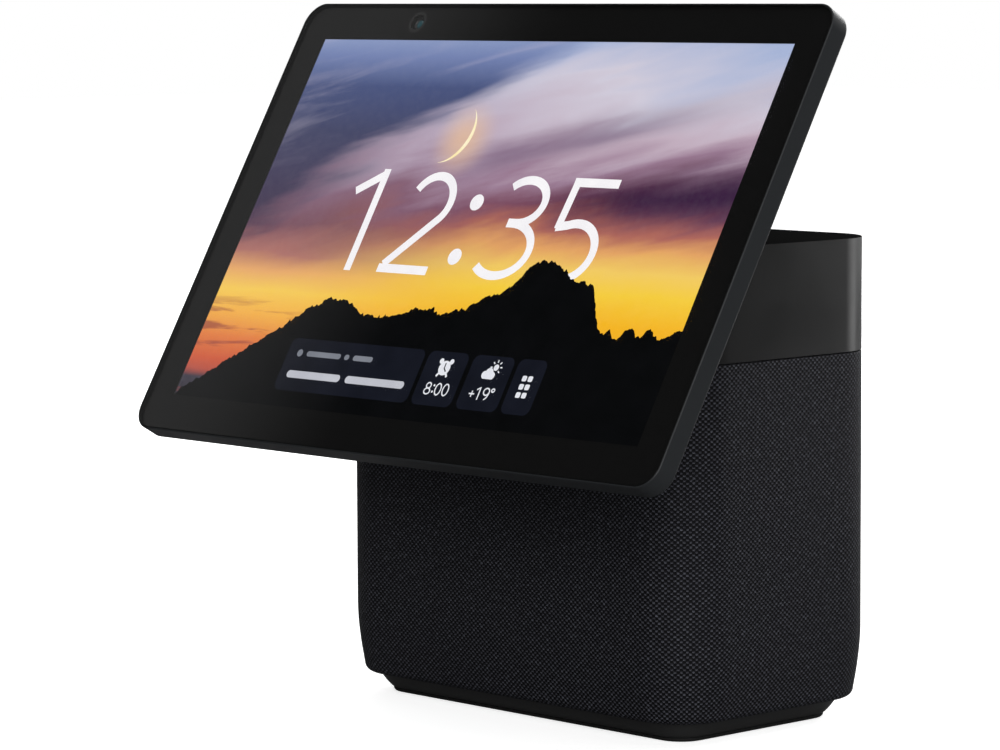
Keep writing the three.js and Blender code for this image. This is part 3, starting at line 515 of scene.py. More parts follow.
def dusk(name):
    """A dusk sky: a blue upper left, slanting cloud and a glow over the horizon, in millimetres."""
    g = Graph(name)
    where = g.add("Attribute", output=1, attribute_name="place")
    x, y = g.add("SeparateXYZ", {0: where}).node.outputs[:2]

    def clouds(stretch, slope, detail, distortion):
        slanted = g.add("Mapping", {"Vector": where, "Rotation": (0, 0, -slope)})
        slanted = g.add("Mapping", {"Vector": slanted, "Scale": (*stretch, 1)})
        return g.noise(slanted, 1.0, detail, 0.5, distortion)

    def line(start, slope, scatter, soft):
        """0 below a slanting line and 1 above it, with a torn edge."""
        height = g.minus(y, g.plus(g.times(x, slope), start))
        return g.range(g.plus(height, g.times(tear, scatter)), -soft, soft, smooth=True)

    bank = clouds((0.009, 0.042), 0.3, 4.0, 0.4)
    wisp = clouds((0.016, 0.11), 0.24, 5.0, 0.5)
    thin = clouds((0.03, 0.3), 0.03, 4.0, 0.3)
    fine_tear = g.times(g.minus(wisp, 0.5), 0.5)
    tear = g.plus(g.minus(bank, 0.5), fine_tear)
    calm = g.range(y, -24.0, 16.0, 4.0, 40.0, smooth=True)
    height = g.range(g.plus(y, g.times(tear, calm)), -68.0, 68.0)
    left = g.ramp(height, [
        (0.0, 52, 50, 58), (0.06, 62, 58, 70), (0.08, 182, 84, 68), (0.11, 206, 92, 60),
        (0.17, 226, 126, 66), (0.235, 244, 178, 76), (0.30, 247, 204, 88), (0.355, 232, 170, 106),
        (0.41, 172, 112, 104), (0.50, 122, 80, 94), (0.58, 134, 102, 124), (0.69, 178, 160, 180),
        (1.0, 150, 160, 198),
    ])
    right = g.ramp(height, [
        (0.0, 238, 140, 24), (0.28, 246, 182, 34), (0.355, 247, 206, 62), (0.41, 244, 204, 98),
        (0.465, 228, 164, 100), (0.52, 176, 104, 92), (0.58, 128, 78, 98), (0.66, 156, 124, 148),
        (0.74, 196, 176, 192), (0.86, 210, 205, 220), (0.985, 168, 182, 216),
    ])
    sky = g.mix(g.range(x, -86.0, 30.0, smooth=True), left, right)
    over_streak = line(31.0, 0.23, 12.0, 5.0)
    streak = g.times(line(22.0, 0.22, 12.0, 4.0), g.minus(1.0, over_streak))
    streak = g.times(streak, g.range(x, -30.0, 4.0, 0.0, 0.7, smooth=True))
    streak = g.times(streak, g.range(x, 100.0, 40.0, 0.25, 1.0, smooth=True))
    sky = g.mix(streak, sky, srgb(112, 84, 116))
    over_mass = line(9.0, 0.14, 14.0, 8.0)
    mass = g.times(line(3.0, 0.05, 10.0, 7.0), g.minus(1.0, over_mass))
    mass = g.times(mass, g.range(x, 4.0, 66.0, 0.15, 0.95, smooth=True))
    sky = g.mix(mass, sky, srgb(48, 20, 58))
    blue = g.ramp(g.range(y, 4.0, 68.0), [
        (0.0, 58, 48, 76), (0.45, 44, 52, 90), (0.72, 54, 70, 118), (0.9, 110, 126, 174),
        (1.0, 134, 150, 192),
    ])
    sky = g.mix(g.times(line(58.0, 0.54, 44.0, 9.0), 0.95), sky, blue)
    veil = g.range(wisp, 0.5, 0.72, 0.0, 0.18, smooth=True)
    veil = g.times(veil, g.range(y, 12.0, 34.0, smooth=True))
    sky = g.mix(veil, sky, srgb(206, 198, 218))
    low, leftmost = g.range(y, -27.0, -37.0, smooth=True), g.range(x, -50.0, -84.0, smooth=True)
    shreds = g.range(thin, 0.57, 0.68, 0.0, 0.75, smooth=True)
    shreds = g.times(shreds, g.times(low, leftmost))
    sky = g.mix(shreds, sky, srgb(150, 70, 62))
    limb = (MOON[0] + 8.0, MOON[1] - 2.5, 0)
    gap = g.add("VectorMath", {0: where, 1: limb}, output=1, operation="DISTANCE")
    sky = g.mix(g.range(gap, 16.0, 1.0, 0.0, 0.55, smooth=True), sky, srgb(248, 202, 148))
    grain = g.noise(where, 0.4, 2.0)
    return g.principled(
        Base_Color=grey(0.002), Roughness=g.range(grain, 0.3, 0.7, 0.45, 0.55), Specular_IOR_Level=0.0,
        Emission_Color=g.mix(g.range(grain, 0.3, 0.7, 0.0, 0.01), sky, srgb(255, 255, 255)),
        Emission_Strength=1.08,
    )


# ---- Materials ----

MOON = (-27.5, 34.0)  # the middle of its circle, in the slab's frame
WEAVE_COLUMNS = 246  # stitches round the sleeve
WEAVE_PITCH = 1.6  # height of a stitch

aluminium = metal("milled_aluminium", (0.62, 0.63, 0.64), 0.36, (0.2, 8, 1), 1.2)
looks = {
    "satin_black": moulded("satin_black_plastic", 0.009, 0.37, specular=0.46),
    "dark_housing": moulded("dark_housing_plastic", 0.016, 0.54, specular=0.34, blue=0.25),
    "inner_plastic": moulded("inner_plastic", 0.035, 0.6, grain=0.02),
    "cone_paper": moulded("cone_paper_pulp", 0.02, 0.85, grain=0.12, specular=0.15, scale=1.4),
    "foam": moulded("closed_cell_foam", 0.012, 0.95, grain=0.1, specular=0.1, scale=2.0),
    "cable_jacket": moulded("ribbon_film", 0.014, 0.4, grain=0.004, scale=1.5),
    "rubber_foot": rubber("foot_rubber", 0.012, 0.72),
    "driver_rubber": rubber("driver_rubber", 0.014, 0.55),
    "zinc_steel": metal("zinc_plate", (0.5, 0.5, 0.52), 0.34, (1, 1, 1), 3.0),
    "black_steel": metal("black_coated_steel", (0.02, 0.02, 0.021), 0.48, (1, 6, 1), 1.5, 0.4, 0.01),
    "bare_aluminium": aluminium,
    "screen_panel": aluminium,
    "lens_glass": metal("lens_coating", (0.02, 0.09, 0.11), 0.06, metallic=0.0, bump=0.0),
    "circuit_board": circuit("solder_mask"),
    "knit_fabric": knit("spacer_knit"),
    "cover_glass": glass("clear_glass"),
}
plinth_black = moulded("plinth_plastic", 0.024, 0.45, specular=0.5)
deck_black = moulded("deck_plastic", 0.007, 0.6, specular=0.0)
mask_print = printed("mask_print", 0.006)
edge_print = printed("ground_edge", 0.006, 0.4)
# A printed ring round the camera, painted lighter to stand in for the highlight on the camera recess's rim.
camera_ring_painted_highlight = printed("camera_ring_painted_highlight", 0.03, 0.3)
symbol_print = printed("symbol_print", 0.16, 0.5)

for part in frame["record"]["subparts"]:
    node = frame["nodes"][part["node"]]
    dress(node, looks[part["material_slot"]], 35.0)

# ---- Camera ----

camera_data = bpy.data.cameras.new("camera")
camera_data.lens = 143.56
camera_data.sensor_width = 36.0
camera_data.clip_start, camera_data.clip_end = 0.01, 50
camera = bpy.data.objects.new("camera", camera_data)
bpy.context.scene.collection.objects.link(camera)
azimuth, pitch, roll = (math.radians(a) for a in (46.573, 5.565, -0.269))
camera.matrix_world = (
    Matrix.Translation((0.92694, -0.92444, 0.23686))
    @ Matrix.Rotation(azimuth, 4, "Z")
    @ Matrix.Rotation(math.pi / 2 - pitch, 4, "X")
    @ Matrix.Rotation(roll, 4, "Z")
)
bpy.context.scene.camera = camera

# ---- Foot and fabric ----

PAD_EDGE = 1.1
PLINTH_BOTTOM = 1.35
PLINTH_TOP = FOOT_HEIGHT - 0.3
PLINTH_FLARE = 4.75
CORNER_STEPS = 32

pad_side = arc((FOOT_INSET + PAD_EDGE, PAD_EDGE), PAD_EDGE, 270, 180, 6)
pad_side.append((FOOT_INSET + 0.1, 1.2))
foot_pad = piece("foot_pad", *swept(pad_side, BASE, CORNER_STEPS), "base", "rubber_foot")
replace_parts(foot_pad, "rubber_foot")

plinth_side = [
    (FOOT_INSET + 0.15 - PLINTH_FLARE * t ** 0.75, PLINTH_BOTTOM + (PLINTH_TOP - PLINTH_BOTTOM) * t)
    for t in np.linspace(0, 1, 11)
]
plinth_side += [(LIP_INSET + 0.3, PLINTH_TOP), (LIP_INSET + 0.3, FOOT_HEIGHT + FABRIC_THICKNESS)]
plinth = piece("plinth_shell", *swept(plinth_side, BASE, CORNER_STEPS), "base", "satin_black", plinth_black)
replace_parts(plinth, "foot_plinth")


def body_side(top):
    """(inset, height) points up the fabric body from its turned-in lower edge."""
    steps = 10
    edge_top = FOOT_HEIGHT + EDGE_RADIUS
    points = arc((TUCK_DEPTH + EDGE_RADIUS, edge_top), EDGE_RADIUS, 270, 180, steps)
    for k in range(1, steps + 1):
        left = 1 - k / steps
        points.append((TUCK_DEPTH * left ** 1.7, edge_top + (TUCK_TOP - edge_top) * k / steps))
    return points + [(0, height) for height in np.linspace(TUCK_TOP, top, 12)[1:]]


SEAM_X = -50


def sleeve():
    """The knitted sleeve: one sheet wrapped round the body, its edges turned in and its seam behind."""
    hem = [(0.12, FABRIC_TOP - 0.15), (0.35, FABRIC_TOP), (1.3, FABRIC_TOP), (1.3, FABRIC_TOP - 3)]
    profile = [(LIP_INSET, FOOT_HEIGHT + 1.2), (LIP_INSET, FOOT_HEIGHT)]
    profile = np.array(profile + body_side(FABRIC_TOP - 0.45) + hem)
    flat = outline(*BASE, 24, 24)
    seam = int(np.argmin(np.hypot(flat[:, 0] - SEAM_X, flat[:, 1] - BASE[1] / 2)))
    flat = np.roll(flat, -seam, axis=0)
    normal = np.roll(flat, -1, axis=0) - np.roll(flat, 1, axis=0)
    normal = np.column_stack([normal[:, 1], -normal[:, 0]]) / np.linalg.norm(normal, axis=1)[:, None]
    flat, normal = (np.vstack([line, line[:1]]) for line in (flat, normal))
    rows = [np.column_stack([flat - normal * inset, np.full(len(flat), height)])
            for inset, height in profile]
    made = piece("knit_sleeve", np.concatenate(rows), strips(len(rows), len(flat), ring_points=False),
                 "base", "knit_fabric", sharp=80)
    window = swept([(-GAP, 40), (-GAP, 56)], SOCKET, 8)
    carved(made, moved(window, behind))
    return made, flat, profile


def lay_weave(made, flat, profile):
    """Counts the stitches round and up the sleeve, and stores the counts on each face's corners."""
    mesh = made.data
    round_it = np.concatenate([[0], np.cumsum(np.linalg.norm(np.diff(flat, axis=0), axis=1))])
    up_it = np.concatenate([[0], np.cumsum(np.linalg.norm(np.diff(profile, axis=0), axis=1))])
    outer = KDTree(len(flat) - 1)
    for k, (x, y) in enumerate(flat[:-1]):
        outer.insert((x, y, 0), k)
    outer.balance()
    step = np.diff(profile, axis=0)
    length = np.linalg.norm(step, axis=1)
    places = []
    for vertex in mesh.vertices:
        x, y, z = vertex.co / MM
        _, k, inset = outer.find((x, y, 0))
        along_it = flat[(k + 1) % (len(flat) - 1)] - flat[k - 1]
        along_it /= np.linalg.norm(along_it)
        off = float(np.dot((x, y) - flat[k], along_it))
        inset = math.sqrt(max(inset * inset - off * off, 0))
        part = np.clip((((inset, z) - profile[:-1]) * step).sum(1) / length ** 2, 0, 1)
        gap = profile[:-1] + step * part[:, None] - (inset, z)
        row = int(np.argmin(np.hypot(gap[:, 0], gap[:, 1])))
        up = up_it[row] + part[row] * length[row]
        places.append(((round_it[k] + off) / round_it[-1] * WEAVE_COLUMNS, up / WEAVE_PITCH))
    corners = np.zeros((len(mesh.loops), 3), np.float32)
    for face in mesh.polygons:
        across = [places[v][0] for v in face.vertices]
        wrapped = max(across) - min(across) > WEAVE_COLUMNS / 2
        for loop, v in zip(face.loop_indices, face.vertices):
            column, row = places[v]
            past_seam = wrapped and column < WEAVE_COLUMNS / 2
            corners[loop, :2] = column + WEAVE_COLUMNS * past_seam, row
    weave = mesh.attributes.new("weave", "FLOAT_VECTOR", "CORNER")
    weave.data.foreach_set("vector", corners.ravel())
    return round_it[-1], up_it[-1]


knit_sleeve, *sleeve_lines = sleeve()
sleeve_round, sleeve_length = lay_weave(knit_sleeve, *sleeve_lines)
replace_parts(knit_sleeve, "fabric_sleeve")

# ---- Collar, deck and buttons ----

RIM_EDGE = 0.25
BREAK = 0.15  # how far a sharp edge is broken

ledge = PLATE_TOP - PLATE_THICKNESS - GAP
collar_profile = [
    (BREAK, COLLAR_BOTTOM), (0, COLLAR_BOTTOM + BREAK), (0, BASE_HEIGHT - RIM_EDGE),
    *arc((RIM_EDGE, BASE_HEIGHT - RIM_EDGE), RIM_EDGE, 180, 90, 4)[1:],
    (COLLAR_RIM - BREAK, BASE_HEIGHT), (COLLAR_RIM, BASE_HEIGHT - BREAK), (COLLAR_RIM, ledge), (5, ledge),
    (5, ledge - 1.6), (COLLAR_WALL, ledge - 4), (COLLAR_WALL, 124.4), (14, 124.4), (14, 122.4),
    (COLLAR_WALL, 122.4), (COLLAR_WALL, COLLAR_BOTTOM),
]
collar = piece("collar_shell", *swept(collar_profile, BASE, CORNER_STEPS, ring=True),
               "base", "satin_black")
neck_window = (NECK_HALF + GAP, -45.4, NECK_TOP + GAP)
carved(collar, boxed((-NECK_HALF - GAP, -50, NECK_BOTTOM - GAP), neck_window))
collar.data.materials.append(deck_black)
for face in collar.data.polygons:
    on_rim = face.center.z > (BASE_HEIGHT - 0.2) * MM
    face.material_index = int(on_rim)
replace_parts(collar, "collar")

deck_size = [length - inset for length, inset in zip(BASE, (2.8, 2.8, 1.4))]
deck = piece("deck_plate", *plate(*deck_size, PLATE_TOP - PLATE_THICKNESS, PLATE_TOP, 0.2, CORNER_STEPS),
             "base", "satin_black", deck_black)
buttons = {"volume_down": (-24.0, 16.0), "mute": (0.0, 9.0), "volume_up": (24.0, 16.0)}  # x, width
holes = [moved(plate(width + 0.7, BUTTON_DEPTH + 0.7, 4.84, 150, 160, steps=12),
               Matrix.Translation((x, BUTTON_Y, 0)))
         for x, width in buttons.values()]
microphone = turned([(0, 150), (0.8, 150), (0.8, 160), (0, 160)], 24)
holes += [moved(microphone, Matrix.Translation((x, -30, 0))) for x in (-50, 50)]
carved(deck, *holes)
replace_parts(deck, "top_plate")


def stadium(width, depth):
    """A button cap with a flange under the plate, a softly rounded edge and a slightly dished top."""
    top = PLATE_TOP + 0.5
    flange = [(-1.2, top - 3.7), (-1.2, top - 2.5), (0.05, top - 2.5)]
    rim = arc((0.55, top - 0.5), 0.5, 180, 90, 5)
    dish = [(1.6, top - 0.06), (3.0, top - 0.12)]
    return swept([*flange, *rim, *dish], (width, depth, depth / 2 - 0.02), 12)


for name, (x, width) in buttons.items():
    spot = Matrix.Translation((x, BUTTON_Y, 0))
    cap = piece(f"{name}_cap", *stadium(width, BUTTON_DEPTH), name, "dark_housing", place=spot)
    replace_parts(cap, f"{name}_button")
    low, high = PLATE_TOP + 0.2, PLATE_TOP + 0.44
    bar = plate(4.0, 0.7, 0.34, low, high)
    marks = [bar]
    if name == "volume_up":
        marks.append(moved(bar, Matrix.Rotation(math.pi / 2, 4, "Z")))
    if name == "mute":
        ring = swept([(0, low), (0, high), (0.5, high), (0.5, low)], (3.6, 3.6, 1.79), 12, True)
        slash = Matrix.Rotation(math.pi / 4, 4, "Z") @ Matrix.Diagonal((1.2, 0.8, 1, 1))
        marks = [ring, moved(bar, slash)]
    piece(f"{name}_mark", *joined(*marks), name, "dark_housing", symbol_print, spot)

# ---- Power socket ----

bezel = plate(*SOCKET, SOCKET_FACE - 9, SOCKET_FACE, 0.5, 12)
bezel = piece("socket_bezel", *moved(bezel, behind), "base", "satin_black")
bore = [(0, -20), (3.1, -20), (3.1, -6.5), (4.9, -6.5), (5.0, -0.5), (5.6, 0.1), (5.6, 5), (0, 5)]
carved(bezel, moved(turned([(r, SOCKET_FACE + h) for r, h in bore], 48), behind))
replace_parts(bezel, "socket_surround")
jack_end = SOCKET_FACE - 9.3
barrel = [(0, -12), (5.3, -12), (5.3, 0), (2.8, 0), (2.8, -9), (1, -9), (1, -1), (0.6, -0.5), (0, -0.5)]
barrel = turned([(r, jack_end + h) for r, h in barrel], 48)
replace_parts(piece("jack_barrel", *moved(barrel, behind), "base", "black_steel"), "power_jack")

# ---- Hinge ----


def neck_half(upper):
    """Half of the moulded cover round the bracket's arms, split at its middle height."""
    height, wall, split, edge = NECK_TOP - NECK_BOTTOM, 1.8, 0.15, 0.4
    front, rear = -BASE[1] / 2 - 6.2, -BASE[1] / 2 + COLLAR_WALL - 0.1
    sign = 1 if upper else -1
    outer = outline(2 * NECK_HALF, height, 5, 12)
    inner = outline(2 * (NECK_HALF - wall), height - 2 * wall, 5 - wall, 12)
    keep = [p for p in range(len(outer)) if sign * outer[p][1] > split]
    start = next(p for p in keep if (p - 1) % len(outer) not in keep)
    order = [(start + k) % len(outer) for k in range(len(keep))]
    out, inn = (
        [(sign * half, sign * split), *map(tuple, line[order]), (-sign * half, sign * split)]
        for line, half in ((outer, NECK_HALF), (inner, NECK_HALF - wall))
    )
    eased = [(x * 0.997, y * 0.985) for x, y in out]
    loops = [(out, rear), (out, front + edge), (eased, front), (inn, front), (inn, rear)]
    middle = (NECK_TOP + NECK_BOTTOM) / 2
    points = [(x, y, middle + z) for line, y in loops for x, z in line]
    count = len(out)
    faces = strips(5, count, True, False)
    faces += [tuple(k * count for k in range(5)), tuple(k * count + count - 1 for k in range(5))[::-1]]
    return points, faces


for upper, name in ((True, "upper"), (False, "lower")):
    cover = piece(f"neck_{name}", *neck_half(upper), "base", "satin_black")
    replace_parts(cover, f"neck_cover_{name}")

PIN_END = 31.1
WASHER_X = 28
pin = [(0, -PIN_END - 1.5), *arc((3.4, -PIN_END - 0.9), 0.6, 270, 360, 4), (4, -PIN_END), (2.5, -PIN_END)]
pin += [(r, -h) for r, h in pin[::-1]]
pin = moved(turned(pin, 48), along((1, 0, 0), (0, HINGE_Y, HINGE_Z)))
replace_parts(piece("tilt_pin", *pin, "base", "zinc_steel"), "hinge_pin")
washer = turned([(2.65, 0.9), (3.2, 0.35), (4.8, 0.35), (5.0, 0.55), (5.0, 1.1), (4.8, 1.3), (3.6, 1.9),
                 (2.65, 2.5), (2.65, 0.9)], 48)
for side, hand in ((-1, "left"), (1, "right")):
    spot = along((side, 0, 0), (side * WASHER_X, HINGE_Y, HINGE_Z))
    made = piece(f"dished_washer_{hand}", *moved(washer, spot), "base", "zinc_steel")
    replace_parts(made, f"friction_washer_{hand}")
for name in ("hinge_bracket", "hinge_leaf", "camera_shutter"):
    soften = frame["nodes"][name].modifiers.new("soften", "BEVEL")
    soften.width, soften.segments, soften.limit_method = 0.18 * MM, 2, "ANGLE"
    soften.angle_limit = math.radians(50)

LEAF_BACK = -SLAB_DEPTH - 2.1
HEAD_HEIGHT = 0.95
head = [
    (0, 0.45), (2.2, 0.42), *arc((2.4, -0.2), 0.6, 90, 0, 4), (3, -HEAD_HEIGHT), (1.4, -HEAD_HEIGHT),
    (1.4, -6.15), (0, -6.15),
]
slot = boxed((-1.5, -0.28, -0.5), (1.5, 0.28, 2))
for k, (side, end) in enumerate([(-1, -1), (1, -1), (1, 1), (-1, 1)], 1):
    spot = (side * LEAF_SCREWS[0], end * LEAF_SCREWS[1] + HINGE_V, LEAF_BACK - HEAD_HEIGHT)
    screw = piece(f"leaf_screw_head_{k}", *turned(head[::-1], 32), None, "zinc_steel")
    turns = (0.4 + k, 0.4 + k + math.pi / 2)
    carved(screw, *[moved(slot, Matrix.Rotation(turn, 4, "Z")) for turn in turns])
    settled(screw, to_slab @ Matrix.Translation(spot) @ Matrix.Rotation(math.pi, 4, "X"))
    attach(screw, "screen")
    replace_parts(screw, f"leaf_screw_{k}")


def slab_point(v, w):
    """The (y, z) of a point in the slab's middle plane."""
    return tuple((to_slab @ Vector((0, v, w)))[1:])


def ribbon():
    """The flat cable, along the same route as the CAD's."""
    route = [(38.1, 100), (37.9, 108), (34, 116), (27, 120.8), (18, 125.4), (0, 127.5), (-30, 128.5),
             (-46, 129.2), (-54, 128.4), (-61, 124.5), (-65, 118), (-69, 114.8),
             slab_point(CABLE_V, -11.5), slab_point(CABLE_V, -6.7)]
    route = np.array(route)
    padded_route = np.vstack([2 * route[0] - route[1], route, 2 * route[-1] - route[-2]])
    line = []
    for k in range(1, len(padded_route) - 2):
        p0, p1, p2, p3 = padded_route[k - 1 : k + 3]
        for t in np.linspace(0, 1, 8, endpoint=False):
            line.append(0.5 * (2 * p1 + (p2 - p0) * t + (2 * p0 - 5 * p1 + 4 * p2 - p3) * t ** 2
                               + (3 * p1 - p0 - 3 * p2 + p3) * t ** 3))
    line = np.array(line + [route[-1]])
    way = np.gradient(line, axis=0)
    way /= np.linalg.norm(way, axis=1)[:, None]
    side = np.column_stack([-way[:, 1], way[:, 0]]) * 0.22
    across = [-5, -4.8, -3, 0, 3, 4.8, 5]
    rows = []
    for point, off in zip(line, side):
        thin = {x: 0.5 if abs(x) == 5 else 1 for x in across}
        upper = [(x, *(point + off * thin[x])) for x in across]
        lower = [(x, *(point - off * thin[x])) for x in across[::-1]]
        rows.append(upper + lower)
    count = len(rows[0])
    faces = strips(len(rows), count) + ends(len(rows), count)
    made = piece("flex_ribbon", np.array(rows).reshape(-1, 3), faces, None, "cable_jacket")
    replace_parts(made, "display_cable")
    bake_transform(made)


ribbon()

# ---- Screen housing and glass ----

tray_profile = [
    *arc((1.3, -SLAB_DEPTH + 1.3), 1.3, 270, 180, 8), (0, -0.3), *arc((0.3, -0.3), 0.25, 180, 90, 4)[1:],
    (0.36, -0.05), (0.4, -0.1), (0.4, -1.2), (SLAB_RIM, -1.3), (SLAB_RIM, -SLAB_DEPTH + 1.4),
]
tray = piece("slab_tray", *swept(tray_profile, SLAB, 20), None, "dark_housing")
screw_hole = turned([(0, -9), (1.75, -9), (1.75, -5), (0, -5)], 24)
leaf_holes = [
    moved(screw_hole, Matrix.Translation((side * LEAF_SCREWS[0], end * LEAF_SCREWS[1] + HINGE_V, 0)))
    for side in (-1, 1) for end in (-1, 1)
]
knob_slot = boxed((CAMERA[0] - 2.5, SLAB[1] / 2 - 2, -5.7), (CAMERA[0] + 10.5, SLAB[1] / 2 + 1, -3.9))
cable_hole = moved(plate(14, 5, 2, -10, -5), Matrix.Translation((0, CABLE_V, 0)))
carved(tray, knob_slot, cable_hole, *leaf_holes)
settled(tray, to_slab)
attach(tray, "screen")
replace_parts(tray, "rear_housing")

GLASS_INSET = 0.46
GLASS_EDGE = 0.25
GLASS_BACK = -1.1
MASK_W = -1.13
SIGHT = 2.9  # radius of the clear window over the camera

flush = GLASS_INSET + GLASS_EDGE


def at_glass(name, shape, material=None, slot="cover_glass"):
    """A piece of the screen, from a shape in the slab's frame."""
    return piece(name, *shape, "screen", slot, material, to_slab)


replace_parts(at_glass("front_glass", swept([(flush, GLASS_BACK), (flush, 0)], SLAB, 20)), "cover_glass")
ground = [
    (flush, 0), *arc((flush, -GLASS_EDGE), GLASS_EDGE, 90, 180, 5)[1:], (GLASS_INSET, GLASS_BACK),
    (flush, GLASS_BACK),
]
at_glass("glass_edge", swept(ground, SLAB, 20, ring=True), edge_print)


def border():
    """The black print behind the glass: a frame round the picture, with a round sight for the camera."""
    print_inset = GLASS_INSET + 0.3
    width, height = ACTIVE[0] / 2, ACTIVE[1] / 2
    loops = (
        outline(SLAB[0] - 2 * print_inset, SLAB[1] - 2 * print_inset, SLAB[2] - print_inset, 12),
        ((width, height), (-width, height), (-width, -height), (width, -height)),
        disc(*CAMERA, SIGHT, 48),
    )
    shape = bmesh.new()
    edges = []
    for line in loops:
        loop = [shape.verts.new((*point, MASK_W)) for point in line]
        edges += [shape.edges.new((loop[k], loop[(k + 1) % len(loop)])) for k in range(len(loop))]
    bmesh.ops.triangle_fill(shape, use_beauty=True, use_dissolve=False, edges=edges)
    shape.verts.index_update()
    points = [tuple(v.co) for v in shape.verts]
    faces = [[v.index for v in f.verts] for f in shape.faces]
    shape.free()
    return points, faces


at_glass("border_print", border(), mask_print)
at_camera = Matrix.Translation((*CAMERA, 0))
# The camera's ring: print, with a painted highlight in its lighter colour.
ring = turned([(SIGHT, MASK_W + 0.015), (4.0, MASK_W + 0.015)], 48)
at_glass("camera_ring", moved(ring, at_camera), camera_ring_painted_highlight)
hood = turned([(3.6, MASK_W - 0.02), (SIGHT + 0.05, MASK_W - 0.02)], 48)
at_glass("camera_hood", moved(hood, at_camera), mask_print)
dome = [(1.5 * math.cos(a), -2.55 + 0.4 * math.sin(a)) for a in np.linspace(0.2, math.pi / 2, 8)]
dome[-1] = (0, dome[-1][1])
lens = turned([(0, -2.85), (1.55, -2.85), (1.55, -2.55), *dome], 48)
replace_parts(at_glass("lens_dome", moved(lens, at_camera), slot="lens_glass"), "camera_lens")

# ---- The lit picture ----

PICTURE_W = -1.375


def flat_piece(name, shapes, lift, material):
    """Flat shapes in the slab's frame, as one lit piece behind the glass, a little above the picture.

    Each is a list of (x, y) points round an outline, or a pair of points and faces.
    """
    shapes = [shape if isinstance(shape, tuple) else (shape, [range(len(shape))]) for shape in shapes]
    points, faces = joined(*shapes)
    points = [(x, y, PICTURE_W + lift) for x, y in points]
    made = at_glass(name, (points, faces), material, "screen_panel")
    spot = made.data.attributes.new("place", "FLOAT_VECTOR", "POINT")
    spot.data.foreach_set("vector", np.array(points, np.float32).ravel())


def grid(width, height, columns, rows):
    xs, ys = np.linspace(-width / 2, width / 2, columns), np.linspace(-height / 2, height / 2, rows)
    points = [(x, y) for y in ys for x in xs]
    return points, strips(rows, columns, ring_points=False)


def stroke(line, width):
    """A line of points drawn with a pen of some width, as points and quads."""
    line = np.array(line, float)
    way = np.gradient(line, axis=0)
    way /= np.linalg.norm(way, axis=1)[:, None]
    off = np.column_stack([-way[:, 1], way[:, 0]]) * width / 2
    points = [tuple(p) for pair in zip(line + off, line - off) for p in pair]
    faces = [(2 * k, 2 * k + 1, 2 * k + 3, 2 * k + 2) for k in range(len(line) - 1)]
    return points, faces


def digit(kind):
    """A figure's lines in a cell 0.66 wide and 1 high."""
    return {
        "0": [oval((0.33, 0.5), 0.28, 0.5, 90, 450, 48)],
        "1": [[(0.05, 0.8), (0.345, 0.985)], [(0.36, -0.05), (0.36, 1.05)]],
        "2": [[*oval((0.335, 0.73), 0.25, 0.27, 155, -38), (0.05, 0.04)], [(0.0, 0.0), (0.635, 0.0)]],
        "3": [oval((0.295, 0.774), 0.257, 0.226, 140, -90), [(0.2, 0.548), (0.31, 0.548)],
              oval((0.268, 0.274), 0.324, 0.274, 90, -138)],
        "5": [[(0.07, 1.0), (0.61, 1.0)], [(0.115, 1.02), (0.085, 0.52)],
              [(0.06, 0.535), *oval((0.31, 0.29), 0.297, 0.29, 112, -128)]],
        "8": [oval((0.33, 0.76), 0.23, 0.24, 0, 360, 40), oval((0.33, 0.26), 0.29, 0.26, 0, 360, 40)],
        "9": [oval((0.33, 0.7), 0.28, 0.3, 0, 360, 40), oval((0.2, 0.66), 0.41, 0.66, 5, -78)],
        "+": [[(0.06, 0.42), (0.6, 0.42)], [(0.33, 0.15), (0.33, 0.69)]],
        "o": [oval((0.18, 0.86), 0.14, 0.14, 0, 360, 24)],
    }[kind]


def figure(kind, x, y, height, pen):
    """A figure of some height with its lower left corner at (x, y)."""
    inner = height - pen
    lines = [[(x + px * height, y + pen / 2 + py * inner) for px, py in line] for line in digit(kind)]
    return [stroke(line, pen) for line in lines]


flat_piece("dusk_picture", [grid(*ACTIVE, 49, 31)], 0, dusk("dusk_sky"))

MOON_RADIUS = 11.4
ARM_STEPS = 40
arms = np.radians(np.linspace(-90, 48, ARM_STEPS))
waist = 1.5 * np.sin(np.linspace(0, math.pi, ARM_STEPS)) ** 1.2 + 0.06
moon = [(MOON[0] + r * math.cos(a), MOON[1] + r * math.sin(a))
        for radii in (MOON_RADIUS - 0 * waist, MOON_RADIUS - waist) for a, r in zip(arms, radii)]
moon = (moon, strips(2, ARM_STEPS, ring_points=False))
flat_piece("crescent", [moon], 0.02, glowing("moonlight", (252, 232, 170), 1.1, (255, 246, 214)))

PEN = 3.1
TALL = 37.0
LINE_Y = -17.7
figures = []
for kind, x in (("1", -62.8), ("2", -35.2), ("3", 8.6), ("5", 36.0)):
    figures += figure(kind, x, LINE_Y, TALL, PEN)
figures += [disc(-1.5, y, 2.9) for y in (9.0, -10.5)]
clock_white = glowing("clock_white", (242, 240, 244), 1.1, (250, 248, 250))
flat_piece("clock_figures", figures, 0.045, clock_white)


